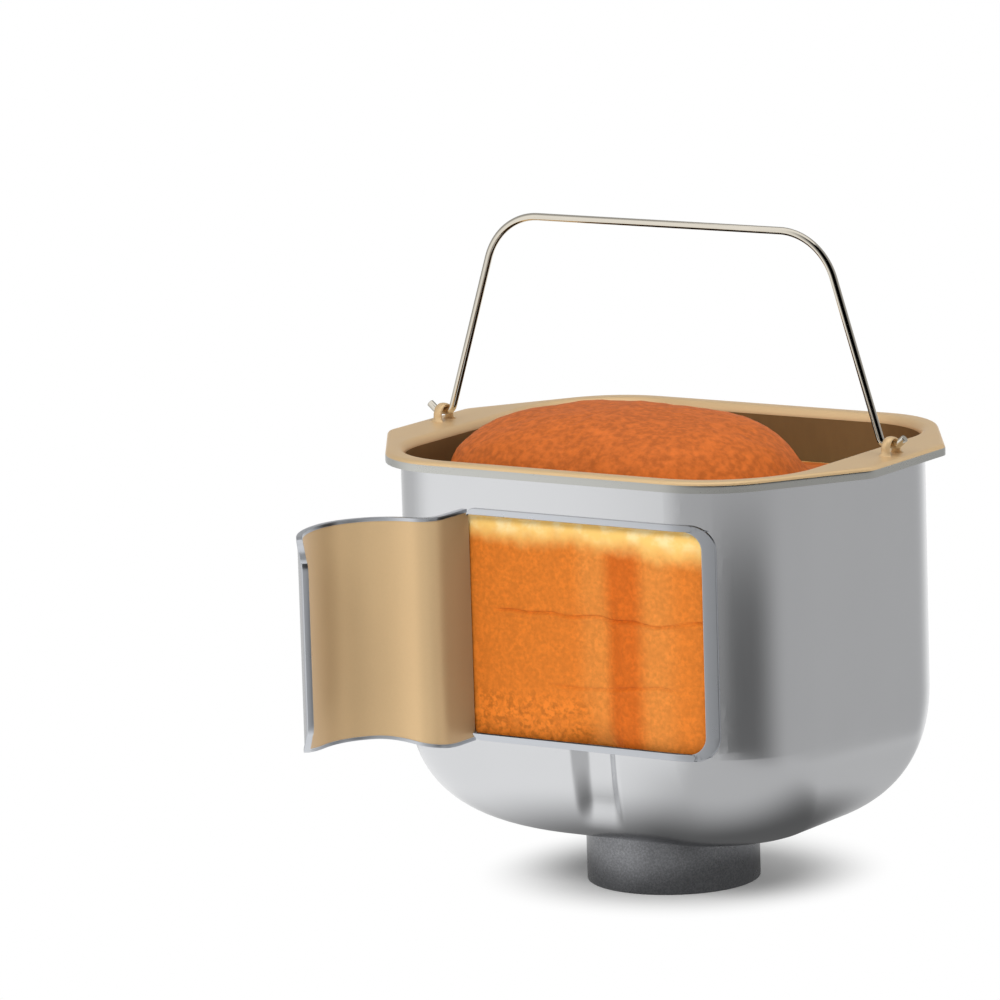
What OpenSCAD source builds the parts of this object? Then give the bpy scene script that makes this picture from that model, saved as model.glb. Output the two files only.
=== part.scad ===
// Baking pan of a bread machine, with a window opened in its front wall and a loaf inside.
// Millimetres. The origin is the centre of the collar's bottom face, +Z is up, +X runs along the
// pan's length and -Y is the front, where the window is.

/* [Pan] */
// Outside length of the upright wall
pan_l = 168; // [140:1:205]
// Outside width of the upright wall
pan_w = 148; // [123:1:180]
// Height of the rim's top face above the rest face
pan_h = 164.4; // [137:0.2:200]
// Outside radius of the upright corners
corner_r = 38.5; // [32:0.5:46]
// Thickness of the drawn sheet
wall = 1.5; // [1:0.1:2]
// Height of the curve between the walls and the floor
curve_h = 50; // [38:1:60]
// Fullness of that curve at the two ends
end_power = 2.8; // [2:0.1:3.2]
// Fullness of that curve at the two long sides
side_power = 1.65; // [1.5:0.05:2.4]
// How far the flat floor runs past the collar all round
floor_margin = 2; // [1:0.5:5]

/* [Kneading ribs] */
// Distance of each rib from the middle of its long side
rib_x = 14; // [0:1:20]
// Width of a rib
rib_w = 20; // [12:1:24]
// Depth that a rib is pressed into the pan
rib_depth = 4; // [2:0.5:5]
// Height of a rib's upper end above the floor
rib_top = 100; // [80:1:110]

/* [Rim] */
// Flange width along the long sides
side_flange = 6; // [4:0.5:10]
// Flange width at the two ends
end_flange = 19.5; // [14:0.5:22]
// Depth of the turned-down edge, flange included
skirt_h = 4; // [3:0.5:8]

/* [Bail] */
// Diameter of the wire
wire_d = 2.8; // [2:0.1:3.2]
// Distance of each pivot's bend outside the pan wall
pivot_out = 8; // [6:0.2:9]
// Height of the pivot above the rim
pivot_h = 3.6; // [3.2:0.1:5]
// Rise of the grip above the pivots
bail_h = 75; // [55:1:100]
// Distance between the grip's two corners, before they are rounded
bail_top_w = 137; // [110:1:150]
// Radius of the grip's corners
bail_r = 23; // [10:1:30]
// Length of the wire past each bridge, turned up
tip_l = 4; // [3:0.5:6]
// Length of each bridge along the wire
bridge_l = 3.6; // [3:0.2:5]
// Sheet thickness of a bridge
bridge_t = 1.2; // [1:0.1:1.6]

/* [Window] */
// Width of the window in the front wall
window_w = 102.4; // [80:0.2:104]
// Height of the window
window_h = 85.4; // [60:0.2:90]
// Distance of the window's middle from the pan's middle
window_x = 12.7; // [0:0.1:16]
// Distance from the rim's top face down to the window
window_drop = 16.6; // [12:0.2:24]
// Radius of the window's corners
window_r = 9; // [6:0.5:14]
// Width of the bright edging on window and flap
trim_w = 2.4; // [1.5:0.1:3]
// Distance that the edging stands proud of the sheet
trim_proud = 0.8; // [0.4:0.1:1.2]

/* [Flap] */
// Straight stretch where the flap leaves the wall
flap_root = 15; // [8:1:20]
// Radius of its first bend, away from the window
flap_bend_1 = 8; // [5:1:14]
// Radius of its second bend, back outwards
flap_bend_2 = 25; // [15:1:32]
// Radius of the curl at its free end
flap_bend_3 = 40; // [25:1:60]
// Turn of the first two bends
flap_turn = 86; // [60:1:95]
// Turn of the curl
flap_curl = 52; // [20:1:60]

/* [Base] */
// Outside diameter of the cast collar
collar_d = 64; // [60:0.5:78]
// Height of the collar
collar_h = 21; // [18:0.5:28]
// Wall of the collar
collar_wall = 4; // [3:0.5:5]
// Thickness of the collar's top plate
plate_t = 3; // [2:0.5:4]
// Shank diameter of the four rivets
rivet_d = 4; // [3:0.5:5]
// Distance of the rivets from the axis
rivet_r = 23; // [22:0.5:24]

/* [Drive] */
// Diameter of the drive shaft
shaft_d = 8; // [6:0.5:10]
// Height of the shaft above the pan floor
shaft_rise = 35; // [28:1:45]
// Outside diameter of the bearing housing's body
housing_d = 20; // [18:0.5:22]
// Outside diameter of the bushes
bush_d = 12; // [11:0.5:13]
// Length of each bush
bush_l = 6; // [5:0.5:7]
// Span of the coupling's two wings
coupling_span = 30; // [24:1:36]
// Reach of the kneading blade from the axis
blade_r = 32; // [26:1:34]

/* [Loaf] */
// Height of the crown above the shoulder
crown_h = 30.5; // [15:0.5:32]
// Distance from the pan's left end to the crown
crown_left = 7.5; // [7.5:0.5:26]
// Distance from the pan's right end to the crown
crown_right = 26.5; // [7.5:0.5:30]
// Distance from the pan's front to the crown
crown_front = 12; // [7.5:0.5:36]
// Distance from the pan's back to the crown
crown_back = 36; // [7.5:0.5:36]
// Distance of the loaf's shoulder below the rim's top face
shoulder_drop = 18.4; // [16:0.2:24]
// Gap between the crust and the pan
crust_gap = 0.6; // [0.4:0.1:1.5]

/* [Hidden] */
$fn = 64;
corner_steps = 7;
curve_steps = 9;
running_gap = 0.05;   // radial gap of a turning or pushed-on fit
pin_gap = 0.03;       // radial gap of the coupling's pin
play = 0.15;          // axial gap between turning faces
bridge_gap = 0.6;     // gap between the bail's leg and a bridge
bridge_room = 1.9;    // room that a bridge leaves beside the wire
bridge_lift = 0.3;    // room that it leaves over the wire
wire_margin = 1;      // straight wire past a bridge, before its tip turns up
leg_bend = 3;         // radius of the bend from each leg into its pivot
tip_bend = 1.9;       // radius of the bend into each tip
flap_lap = 0.6;       // height that the flap has over the window, at top and bottom
trim_short = 0.1;     // distance that the edging stays short of the sheet's inner face
head_room = 1;        // room that the loaf leaves round a rivet's head
blade_room = 2;       // room that it leaves past the turning blade
rib_room = 0.2;       // depth by which its own channel clears a rib
cut = 1;              // distance that a cutting shape runs past what it cuts

floor_z = collar_h;
floor_half = collar_d / 2 + floor_margin;
floor_top = floor_z + wall;
floor_r = floor_half - 6;                   // corner radius of the flat floor
curve_end = pan_l / 2 - floor_half;
curve_side = pan_w / 2 - floor_half;
wall_top = pan_h - wall;
side_half = pan_l / 2 - corner_r;

pivot_x = pan_l / 2 + pivot_out;
pivot_z = pan_h + pivot_h;
bridge_x = pivot_x + wire_d / 2 + bridge_gap;
bridge_in = wire_d / 2 + bridge_room;
tip_turn = 40;

rim_corner_r = corner_r - 3.5;              // radius where the rim leaves a long side
rim_corner_x = side_half + 4.5;             // distance of its centre from the middle
rim_end_r = 8;                              // radius at a wide end's corners
rim_end_y = pan_w / 2 - 50;                 // distance of their centres from the middle

window_z = pan_h - window_drop - window_h / 2;
window_end = window_x + window_w / 2;
flap_half = window_h / 2 + flap_lap;
// Depth of the wall's inner face at the window's right-hand edge, which may lie on a corner
window_depth = -pan_w / 2 + corner_r
    - sqrt(pow(corner_r - wall, 2) - pow(max(0, window_end - side_half), 2));

plate_z = collar_h - plate_t;
lug_angle = 30;       // each bayonet lug's arc
lug_in = 3;           // distance that a lug stands in from the collar's wall
lug_z = 1;            // height of its lower face
lug_h = 4;            // height of the lug
gasket_t = 0.8;
gasket_d = 32;
flange_d = 34;
flange_t = 2;
flange_z = floor_top + gasket_t;
washer_t = 1;
washer_d = 30;
nut_t = 4;
nut_af = 27;
housing_z = plate_z - washer_t - nut_t - 1;
boss_d = housing_d + 2;
boss_top = floor_top + 9.5;
seal_d = 16;
seal_t = 3.5;
seal_z = boss_top - 4;
felt_t = seal_z - housing_z - 2 * bush_l;
cap_t = 0.8;
cap_skirt = 4.5;
cap_clear = 0.5;
cap_top = boss_top + cap_t;
thrust_d = 14;
thrust_t = 0.6;
clip_t = 0.8;
clip_z = cap_top + thrust_t + play;
clip_d = 13;
clip_slot = 3;
groove_depth = 0.6;
shaft_top = floor_top + shaft_rise;
shaft_z = 1.5;
flat_depth = 1;
hub_z = clip_z + clip_t + 1;
hub_d = 15;
hub_top = shaft_top + 2.5;
blade_z = flange_z + flange_t + 2.2;
blade_t = 4;
blade_tip_h = 9;                            // height of the blade's outer edge
blade_slope = [blade_r * 0.8, blade_z + 18];  // corner between its tip and its hub
hub_play = 0.5;                             // room over the shaft's end inside the hub
// Blade from the axis outwards: it steps down past the boss, then slopes back up to the hub
blade_outline = [[0, hub_top - 1], [0, hub_z], [boss_d / 2 + 3, hub_z], [boss_d / 2 + 5, blade_z],
                 [blade_r, blade_z], [blade_r, blade_z + blade_tip_h], blade_slope,
                 [hub_d * 0.7, hub_top - 1]];
coupling_d = 14;
coupling_top = housing_z - thrust_t - 2 * play;
wing_t = 6;
wing_h = 7.5;
pin_d = 3;
pin_z = shaft_z + 4.5;
pin_short = 0.3;
rivet_head_d = 7.6;
rivet_head_t = 1.6;
shoulder_z = pan_h - shoulder_drop;

// ---- shared shapes ----

// Share of the curve's run at height share s, from 0 at the wall to 1 at the floor
function curve_run(s, power) = 1 - pow(1 - pow(s, power), 1 / power);

// Smooth step from 0 at a to 1 at b
function ease(x, a, b) = let (u = min(1, max(0, (x - a) / (b - a)))) u * u * (3 - 2 * u);

// Depth of a rib at fraction f of the long side's straight half and height z
function rib(f, z, depth, width) =
    let (u = (f * side_half - rib_x) / (width / 2))
    abs(u) >= 1 ? 0 : depth * (1 + cos(180 * u)) / 2
        * ease(z, floor_z + 3, floor_z + 14) * (1 - ease(z, floor_z + rib_top - 12, floor_z + rib_top));

// Stations along a long side's straight half: its ends, a middle point and nine across the rib
side_stations = concat([-1, -0.45],
    [for (i = [-4:4]) (rib_x + rib_w * i / 8) / side_half], [1]);

// Half of a ring, from the front's left end to the far end of the right-hand side
function half_ring(a, b, r, z, depth, width) = concat(
    [for (f = side_stations) [f * (a - r), -b + rib(f, z, depth, width), z]],
    [for (i = [1:corner_steps]) let (t = -90 + 90 * i / corner_steps)
        [a - r + r * cos(t), -b + r + r * sin(t), z]],
    [for (i = [0:corner_steps - 1]) let (t = 90 * i / corner_steps)
        [a - r + r * cos(t), b - r + r * sin(t), z]]);

// Whole ring of half-length a, half-width b and corner radius r, moved along X and Y
function ring(a, b, r, z, depth = 0, width = rib_w, shift = [0, 0]) =
    let (half = half_ring(a, b, r, z, depth, width))
    concat([for (p = half) [shift[0] + p[0], shift[1] + p[1], z]],
           [for (p = half) [shift[0] - p[0], shift[1] - p[1], z]]);

// Ring on the pan's curved form, set in from its outside by a distance
function pan_ring(s, inset, depth = rib_depth, width = rib_w) = ring(
    pan_l / 2 - curve_end * curve_run(s, end_power) - inset,
    pan_w / 2 - curve_side * curve_run(s, side_power) - inset,
    corner_r + (floor_r - corner_r) * pow(s, 1.3) - inset,
    floor_z + curve_h * (1 - s) + inset * s, depth, width);

// Same ring carried straight up the wall
function wall_ring(z, inset, depth = rib_depth, width = rib_w) = ring(
    pan_l / 2 - inset, pan_w / 2 - inset, corner_r - inset, z, depth, width);

// Heights of the curve's rings, as shares, from the floor up
curve_shares = [for (i = [curve_steps:-1:0]) sin(90 * i / curve_steps)];
// Heights on the upright wall at which the rib changes
wall_heights = [floor_z + curve_h + 10, floor_z + rib_top - 12, floor_z + rib_top - 6,
                floor_z + rib_top];

// Middle of a ring
function middle(points) = [for (k = [0:2]) [for (p = points) p[k]] * [for (p = points) 1] / len(points)];

// Closed solid through a stack of rings, its two ends closed by fans about their middles
module skin(rings) {
    n = len(rings[0]);
    last = (len(rings) - 1) * n;
    low = len(rings) * n;
    polyhedron(
        points = concat([for (r = rings) each r], [middle(rings[0]), middle(rings[len(rings) - 1])]),
        faces = [for (i = [0:n - 1]) let (j = (i + 1) % n)
            each concat(
                [[low, i, j], [low + 1, last + j, last + i]],
                [for (k = [0:len(rings) - 2])
                    each [[k * n + i, (k + 1) * n + i, (k + 1) * n + j],
                          [k * n + i, (k + 1) * n + j, k * n + j]]])]);
}

// Rounded rectangle about the origin
module rounded(w, h, r) {
    square([w - 2 * r, h], center = true);
    square([w, h - 2 * r], center = true);
    for (x = [-1, 1], y = [-1, 1])
        translate([x * (w / 2 - r), y * (h / 2 - r)])
            circle(r);
}

// Plate with the window's outline, standing in the XZ plane between two depths
module window_plate(grow, y_from, y_to)
    translate([window_x, y_to, window_z])
        rotate([90, 0, 0])
            linear_extrude(y_to - y_from)
                rounded(window_w + 2 * grow, window_h + 2 * grow, window_r + grow);

// Ring about the Z axis
module collar_ring(outer_d, inner_d, z, h)
    translate([0, 0, z])
        difference() {
            cylinder(d = outer_d, h = h);
            translate([0, 0, -cut])
                cylinder(d = inner_d, h = h + 2 * cut);
        }

module at_rivets()
    for (a = [45:90:315])
        rotate(a)
            translate([rivet_r, 0, 0])
                children();

// ---- pan ----

module pan_shell()
    color("#c9cbcc")
        difference() {
            skin(concat(
                [for (s = curve_shares) pan_ring(s, 0)],
                [for (z = wall_heights) wall_ring(z, 0)],
                [wall_ring(wall_top, 0), wall_ring(wall_top, wall)],
                [for (i = [len(wall_heights) - 1:-1:0]) wall_ring(wall_heights[i], wall)],
                [for (i = [curve_steps:-1:0]) pan_ring(curve_shares[i], wall)]));
            window_plate(0, -pan_w / 2 - cut,
                         max(-pan_w / 2 + rib_depth + wall, window_depth) + cut);
            translate([0, 0, floor_z - cut])
                cylinder(d = housing_d + 2 * running_gap, h = wall + 2 * cut);
            at_rivets()
                translate([0, 0, floor_z - cut])
                    cylinder(d = rivet_d + 2 * running_gap, h = wall + 2 * cut, $fn = 32);
        }

// Rim's outline: wide ends with chamfered corners, narrow long sides
module rim_outline(inset)
    hull()
        for (x = [-1, 1], y = [-1, 1]) {
            translate([x * (pan_l / 2 + end_flange - rim_end_r), y * rim_end_y])
                circle(rim_end_r - inset, $fn = 32);
            translate([x * rim_corner_x, y * (pan_w / 2 + side_flange - rim_corner_r)])
                circle(rim_corner_r - inset);
        }

// Small bridge of sheet that holds the wire down on the flange
module wire_bridge()
    translate([bridge_x, 0, pan_h])
        rotate([90, 0, 90])
            linear_extrude(bridge_l) {
                arch_z = pivot_h + wire_d / 2 + bridge_lift - bridge_in;
                bridge_out = bridge_in + bridge_t;
                difference() {
                    union() {
                        translate([0, arch_z])
                            circle(bridge_out);
                        translate([-bridge_out, 0])
                            square([2 * bridge_out, arch_z]);
                    }
                    translate([0, arch_z])
                        circle(bridge_in);
                    translate([-bridge_in, 0])
                        square([2 * bridge_in, arch_z]);
                    translate([-bridge_out - cut, -bridge_out])
                        square([2 * (bridge_out + cut), bridge_out]);
                }
            }

module pan_rim()
    color("#d9c49b") {
        difference() {
            translate([0, 0, pan_h - skirt_h])
                linear_extrude(skirt_h)
                    rim_outline(0);
            translate([0, 0, pan_h - skirt_h - cut])
                linear_extrude(skirt_h + cut - wall)
                    rim_outline(wall);
            translate([0, 0, pan_h - skirt_h])
                linear_extrude(skirt_h + cut)
                    rounded(pan_l - 2 * wall, pan_w - 2 * wall, corner_r - wall);
        }
        wire_bridge();
        rotate(180)
            wire_bridge();
    }

// Pan's outline carried straight up past the window, grown by a distance
module wall_prism(grow, past)
    translate([0, 0, window_z - window_h / 2 - past])
        linear_extrude(window_h + 2 * past)
            rounded(pan_l + 2 * grow, pan_w + 2 * grow, corner_r + grow);

// Edging on the window's top, right-hand side and bottom, which follows the wall round the
// corner; the flap closes the left
module window_trim()
    color("#dfe1e3")
        difference() {
            intersection() {
                wall_prism(trim_proud, 0);
                window_plate(0, -pan_w / 2 - trim_proud - cut, window_depth + cut);
            }
            wall_prism(trim_short - wall, cut);
            window_plate(-trim_w, -pan_w / 2 - trim_proud - 2 * cut, window_depth + 2 * cut);
            translate([window_end - window_w - cut, -pan_w / 2 - trim_proud - cut,
                       window_z - window_h / 2 + window_r])
                cube([window_r, wall + trim_proud + 2 * cut, window_h - 2 * window_r]);
        }

// ---- flap: a sheet on a path of one straight and three arcs, seen from above ----

flap_len = flap_root + (flap_bend_1 + flap_bend_2) * flap_turn * PI / 180
         + flap_bend_3 * flap_curl * PI / 180;
flap_ends = [flap_root, flap_root + flap_bend_1 * flap_turn * PI / 180,
             flap_root + (flap_bend_1 + flap_bend_2) * flap_turn * PI / 180];

// Heading of the sheet after a distance s from the wall
function flap_heading(s) =
    s < flap_ends[0] ? 270
    : s < flap_ends[1] ? 270 - (s - flap_ends[0]) / flap_bend_1 * 180 / PI
    : s < flap_ends[2] ? 270 - flap_turn + (s - flap_ends[1]) / flap_bend_2 * 180 / PI
    : 270 + (s - flap_ends[2]) / flap_bend_3 * 180 / PI;

// Point reached by a turn from heading h0 to h1 on a radius, and by a straight
function turned(p, h0, h1, r) = let (k = sign(h1 - h0) * r)
    [p[0] + k * (sin(h1) - sin(h0)), p[1] - k * (cos(h1) - cos(h0))];

flap_p0 = [window_end - window_w - wall / 2, -pan_w / 2];
flap_p1 = [flap_p0[0], flap_p0[1] - flap_root];
flap_p2 = turned(flap_p1, 270, 270 - flap_turn, flap_bend_1);
flap_p3 = turned(flap_p2, 270 - flap_turn, 270, flap_bend_2);

// Middle of the sheet after a distance s
function flap_point(s) =
    s < flap_ends[0] ? [flap_p0[0], flap_p0[1] - s]
    : s < flap_ends[1] ? turned(flap_p1, 270, flap_heading(s), flap_bend_1)
    : s < flap_ends[2] ? turned(flap_p2, 270 - flap_turn, flap_heading(s), flap_bend_2)
    : turned(flap_p3, 270, flap_heading(s), flap_bend_3);

// Same, moved off the middle towards the sheet's left
function flap_side(s, off) = let (p = flap_point(s), h = flap_heading(s))
    [p[0] - off * sin(h), p[1] + off * cos(h)];

// Half-height of a sheet with rounded free corners at distance s
function flap_reach(s, half, end_s, r) = s <= end_s - r ? half
    : half - r + sqrt(max(0, r * r - pow(s - end_s + r, 2)));

function flap_stations(end_s, r) = concat(
    [0, flap_ends[0] / 2], [for (i = [0:8]) flap_ends[0] + i / 8 * (flap_ends[1] - flap_ends[0])],
    [for (i = [1:10]) flap_ends[1] + i / 10 * (flap_ends[2] - flap_ends[1])],
    [for (i = [1:8]) flap_ends[2] + i / 8 * (end_s - r - flap_ends[2])],
    [for (i = [1:6]) end_s - r + r * sin(15 * i)]);

module window_flap() {
    end_s = flap_len - trim_w;
    r = window_r - trim_w;
    color("#cda873")
        skin([for (s = flap_stations(end_s, r)) let (
                h = flap_reach(s, flap_half - trim_w, end_s, r),
                a = flap_side(s, wall / 2), b = flap_side(s, -wall / 2))
            [[a[0], a[1], window_z - h], [b[0], b[1], window_z - h],
             [b[0], b[1], window_z + h], [a[0], a[1], window_z + h]]]);
}

// Stations of the edging, from the root along the bottom, round the free end and back on top:
// distance, height and the direction towards the middle of the sheet
flap_edge_s = [for (s = flap_stations(flap_len, window_r)) if (s < flap_len - window_r) s];
flap_edge = concat(
    [for (s = flap_edge_s) [s, -flap_half, 0, 1]],
    [for (i = [0:6]) let (t = 15 * i)
        [flap_len - window_r + window_r * sin(t), -flap_half + window_r * (1 - cos(t)),
         -sin(t), cos(t)]],
    [for (i = [6:-1:0]) let (t = 15 * i)
        [flap_len - window_r + window_r * sin(t), flap_half - window_r * (1 - cos(t)),
         -sin(t), -cos(t)]],
    [for (i = [len(flap_edge_s) - 1:-1:0]) [flap_edge_s[i], flap_half, 0, -1]]);

module flap_trim() {
    half_t = wall / 2 + trim_proud / 2;
    color("#dfe1e3")
        skin([for (e = flap_edge) let (
                o = flap_side(e[0], -half_t), p = flap_side(e[0], half_t),
                s_in = e[0] + e[2] * trim_w, z_in = e[1] + e[3] * trim_w,
                q = flap_side(s_in, half_t), t = flap_side(s_in, -half_t))
            [[o[0], o[1], window_z + e[1]], [p[0], p[1], window_z + e[1]],
             [q[0], q[1], window_z + z_in], [t[0], t[1], window_z + z_in]]]);
}

// ---- base ----

module base_collar()
    color("#5a5b5d")
        difference() {
            union() {
                collar_ring(collar_d, collar_d - 2 * collar_wall, 0, collar_h);
                translate([0, 0, plate_z])
                    cylinder(d = collar_d - 2, h = plate_t);
                // bayonet lugs inside the lower edge
                for (a = [0, 180])
                    rotate(a - lug_angle / 2)
                        rotate_extrude(angle = lug_angle)
                            translate([collar_d / 2 - collar_wall - lug_in, lug_z])
                                square([lug_in + cut, lug_h]);
            }
            translate([0, 0, plate_z - cut])
                cylinder(d = housing_d + 2 * running_gap, h = plate_t + 2 * cut);
            at_rivets()
                translate([0, 0, plate_z - cut])
                    cylinder(d = rivet_d + 2 * running_gap, h = plate_t + 2 * cut, $fn = 32);
        }

module collar_rivets()
    color("#b9bbbd")
        at_rivets() {
            translate([0, 0, plate_z - rivet_head_t])
                cylinder(d = rivet_d, h = plate_t + wall + 2 * rivet_head_t, $fn = 32);
            for (z = [plate_z - rivet_head_t, floor_top])
                translate([0, 0, z])
                    cylinder(d = rivet_head_d, h = rivet_head_t, $fn = 32);
        }

// ---- bearing housing and what it holds ----

module housing_gasket()
    color("#8f3b2e")
        collar_ring(gasket_d, housing_d + 2 * running_gap, floor_top, gasket_t);

module bearing_housing()
    color("#a9abad")
        difference() {
            union() {
                translate([0, 0, housing_z])
                    cylinder(d = housing_d, h = boss_top - housing_z);
                translate([0, 0, flange_z])
                    cylinder(d = flange_d, h = flange_t);
                translate([0, 0, flange_z])
                    cylinder(d = boss_d, h = boss_top - flange_z);
            }
            translate([0, 0, housing_z - cut])
                cylinder(d = bush_d + 2 * running_gap, h = boss_top - housing_z + 2 * cut);
            translate([0, 0, seal_z])
                cylinder(d = seal_d + 2 * running_gap, h = boss_top - seal_z + cut);
        }

module housing_washer()
    color("#b9bbbd")
        collar_ring(washer_d, housing_d + 2 * running_gap, plate_z - washer_t, washer_t);

module housing_nut()
    color("#b9bbbd")
        translate([0, 0, plate_z - washer_t - nut_t])
            difference() {
                cylinder(d = nut_af / cos(30), h = nut_t, $fn = 6);
                translate([0, 0, -cut])
                    cylinder(d = housing_d + 2 * running_gap, h = nut_t + 2 * cut);
            }

module lower_bush()
    color("#b08d57")
        collar_ring(bush_d, shaft_d + 2 * running_gap, housing_z, bush_l);

module oil_felt()
    color("#d8d0bc")
        collar_ring(bush_d, shaft_d + 2 * running_gap, housing_z + bush_l, felt_t);

module upper_bush()
    color("#b08d57")
        collar_ring(bush_d, shaft_d + 2 * running_gap, seal_z - bush_l, bush_l);

module shaft_seal()
    color("#8f3b2e")
        collar_ring(seal_d, shaft_d + 2 * running_gap, seal_z, seal_t);

module seal_cap()
    color("#cfd1d3")
        difference() {
            translate([0, 0, cap_top - cap_skirt])
                cylinder(d = boss_d + 2 * cap_t + 2 * running_gap, h = cap_skirt);
            translate([0, 0, cap_top - cap_skirt - cut])
                cylinder(d = boss_d + 2 * running_gap, h = cap_skirt + cut - cap_t);
            translate([0, 0, cap_top - cap_t - cut])
                cylinder(d = shaft_d + 2 * cap_clear, h = cap_t + 2 * cut);
        }

module upper_thrust_washer()
    color("#e8e6df")
        collar_ring(thrust_d, shaft_d + 2 * running_gap, cap_top, thrust_t);

module lower_thrust_washer()
    color("#e8e6df")
        collar_ring(thrust_d, shaft_d + 2 * running_gap, housing_z - thrust_t, thrust_t);

// ---- drive ----

module shaft_flat(z, h, gap)
    translate([shaft_d / 2 - flat_depth + gap, -shaft_d, z])
        cube([shaft_d, 2 * shaft_d, h]);

module drive_shaft()
    color("#cfd1d3")
        difference() {
            translate([0, 0, shaft_z])
                cylinder(d = shaft_d, h = shaft_top - shaft_z);
            shaft_flat(hub_z - cut / 2, shaft_rise, 0);
            collar_ring(shaft_d + 2 * cut, shaft_d - 2 * groove_depth, clip_z, clip_t);
            translate([0, 0, pin_z])
                rotate([90, 0, 0])
                    cylinder(d = pin_d + 2 * pin_gap, h = 2 * shaft_d, center = true, $fn = 32);
        }

module shaft_circlip()
    color("#9c9ea0")
        difference() {
            collar_ring(clip_d, shaft_d - 2 * groove_depth + 2 * pin_gap, clip_z + pin_gap,
                        clip_t - 2 * pin_gap);
            translate([-clip_d, -clip_slot / 2, clip_z - cut])
                cube([clip_d, clip_slot, clip_t + 2 * cut]);
        }

module drive_coupling()
    color("#77797b")
        difference() {
            union() {
                translate([0, 0, shaft_z])
                    cylinder(d = coupling_d, h = coupling_top - shaft_z);
                translate([-coupling_span / 2, -wing_t / 2, shaft_z])
                    cube([coupling_span, wing_t, wing_h]);
            }
            translate([0, 0, shaft_z - cut])
                cylinder(d = shaft_d + 2 * running_gap, h = coupling_top - shaft_z + 2 * cut);
            translate([0, 0, pin_z])
                rotate([90, 0, 0])
                    cylinder(d = pin_d + 2 * pin_gap, h = 2 * coupling_d, center = true, $fn = 32);
        }

module coupling_pin()
    color("#9c9ea0")
        translate([0, 0, pin_z])
            rotate([90, 0, 0])
                cylinder(d = pin_d, h = coupling_d - 2 * pin_short, center = true, $fn = 32);

module kneading_paddle()
    color("#4a4744")
        difference() {
            union() {
                translate([0, 0, hub_z])
                    cylinder(d = hub_d, h = hub_top - hub_z);
                translate([0, blade_t / 2, 0])
                    rotate([90, 0, 0])
                        linear_extrude(blade_t)
                            polygon(blade_outline);
            }
            difference() {
                translate([0, 0, hub_z - cut])
                    cylinder(d = shaft_d + 2 * running_gap, h = shaft_top + hub_play - hub_z + cut);
                shaft_flat(hub_z - 2 * cut, shaft_rise, running_gap);
            }
        }

// ---- bail ----

function unit(v) = v / norm(v);

// Points of an arc that rounds the corner b between a and c
function rounding(a, b, c, r, steps) =
    let (u = unit(b - a), v = unit(c - b), turn = atan2(u[0] * v[1] - u[1] * v[0], u * v),
         side = sign(turn), from = b - u * r * tan(abs(turn) / 2),
         centre = from + side * r * [-u[1], u[0]])
    [for (i = [0:steps]) let (t = turn * i / steps, w = from - centre)
        centre + [w[0] * cos(t) - w[1] * sin(t), w[0] * sin(t) + w[1] * cos(t)]];

// Path through points of the XZ plane with each inner corner rounded on its own radius
function rounded_path(points, radii, steps) = concat([points[0]],
    [for (i = [1:len(points) - 2])
        each rounding(points[i - 1], points[i], points[i + 1], radii[i - 1], steps)],
    [points[len(points) - 1]]);

// Wire of round section along a path in the XZ plane
module wire(path, d, sides) {
    last = len(path) - 1;
    skin([for (i = [0:last])
        let (dir = unit(path[min(last, i + 1)] - path[max(0, i - 1)]))
        [for (k = [0:sides - 1]) let (t = 360 * (k + 0.5) / sides, out = d / 2 * cos(t))
            [path[i][0] - out * dir[1], d / 2 * sin(t), path[i][1] + out * dir[0]]]]);
}

module bail_handle() {
    tip_x = bridge_x + bridge_l + wire_margin;
    tip = [tip_x + tip_l * cos(tip_turn), pivot_z + tip_l * sin(tip_turn)];
    right = [tip, [tip_x, pivot_z], [pivot_x, pivot_z], [bail_top_w / 2, pivot_z + bail_h]];
    left = [for (i = [len(right) - 1:-1:0]) [-right[i][0], right[i][1]]];
    color("#b5b3ac")
        wire(rounded_path(concat(right, left),
                          [tip_bend, leg_bend, bail_r, bail_r, leg_bend, tip_bend], 6),
             wire_d, 12);
}

// ---- loaf ----

inset = wall + crust_gap;
shoulder_in = 5;
crown_power = 2.7;
crown_l = pan_l - crown_left - crown_right;
crown_w = pan_w - crown_front - crown_back;
crown_shift = [crown_left - crown_right, crown_front - crown_back] / 2;
crown_shares = [0, 0.04, 0.09, 0.17, 0.32, 0.52, 0.72, 0.88, 0.97];

// Ring of the crown at share t of its height; its foot flares out to the shoulder
function crown_ring(t) =
    let (k = pow(1 - pow(t, crown_power), 1 / crown_power), foot = pow(1 - t, 9),
         a = (crown_l / 2 * k) * (1 - foot) + (pan_l / 2 - inset - shoulder_in) * foot,
         b = (crown_w / 2 * k) * (1 - foot) + (pan_w / 2 - inset - shoulder_in) * foot,
         r = b * 0.96 * (1 - foot) + (corner_r - inset - shoulder_in) * foot)
    ring(a, b, r, shoulder_z + crown_h * t, shift = crown_shift * (1 - foot));

// Space that the turning blade and hub need
module blade_space()
    rotate_extrude()
        polygon([[0, floor_z], [flange_d / 2 + 1.5, floor_z], [flange_d / 2 + 1.5, blade_z - 1.5],
                 [blade_r + blade_room, blade_z - 1.5],
                 [blade_r + blade_room, blade_z + blade_tip_h + blade_room],
                 blade_slope + [blade_room, blade_room],
                 [hub_d * 0.7 + blade_room, hub_top + 1.5], [0, hub_top + 1.5]]);

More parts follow.
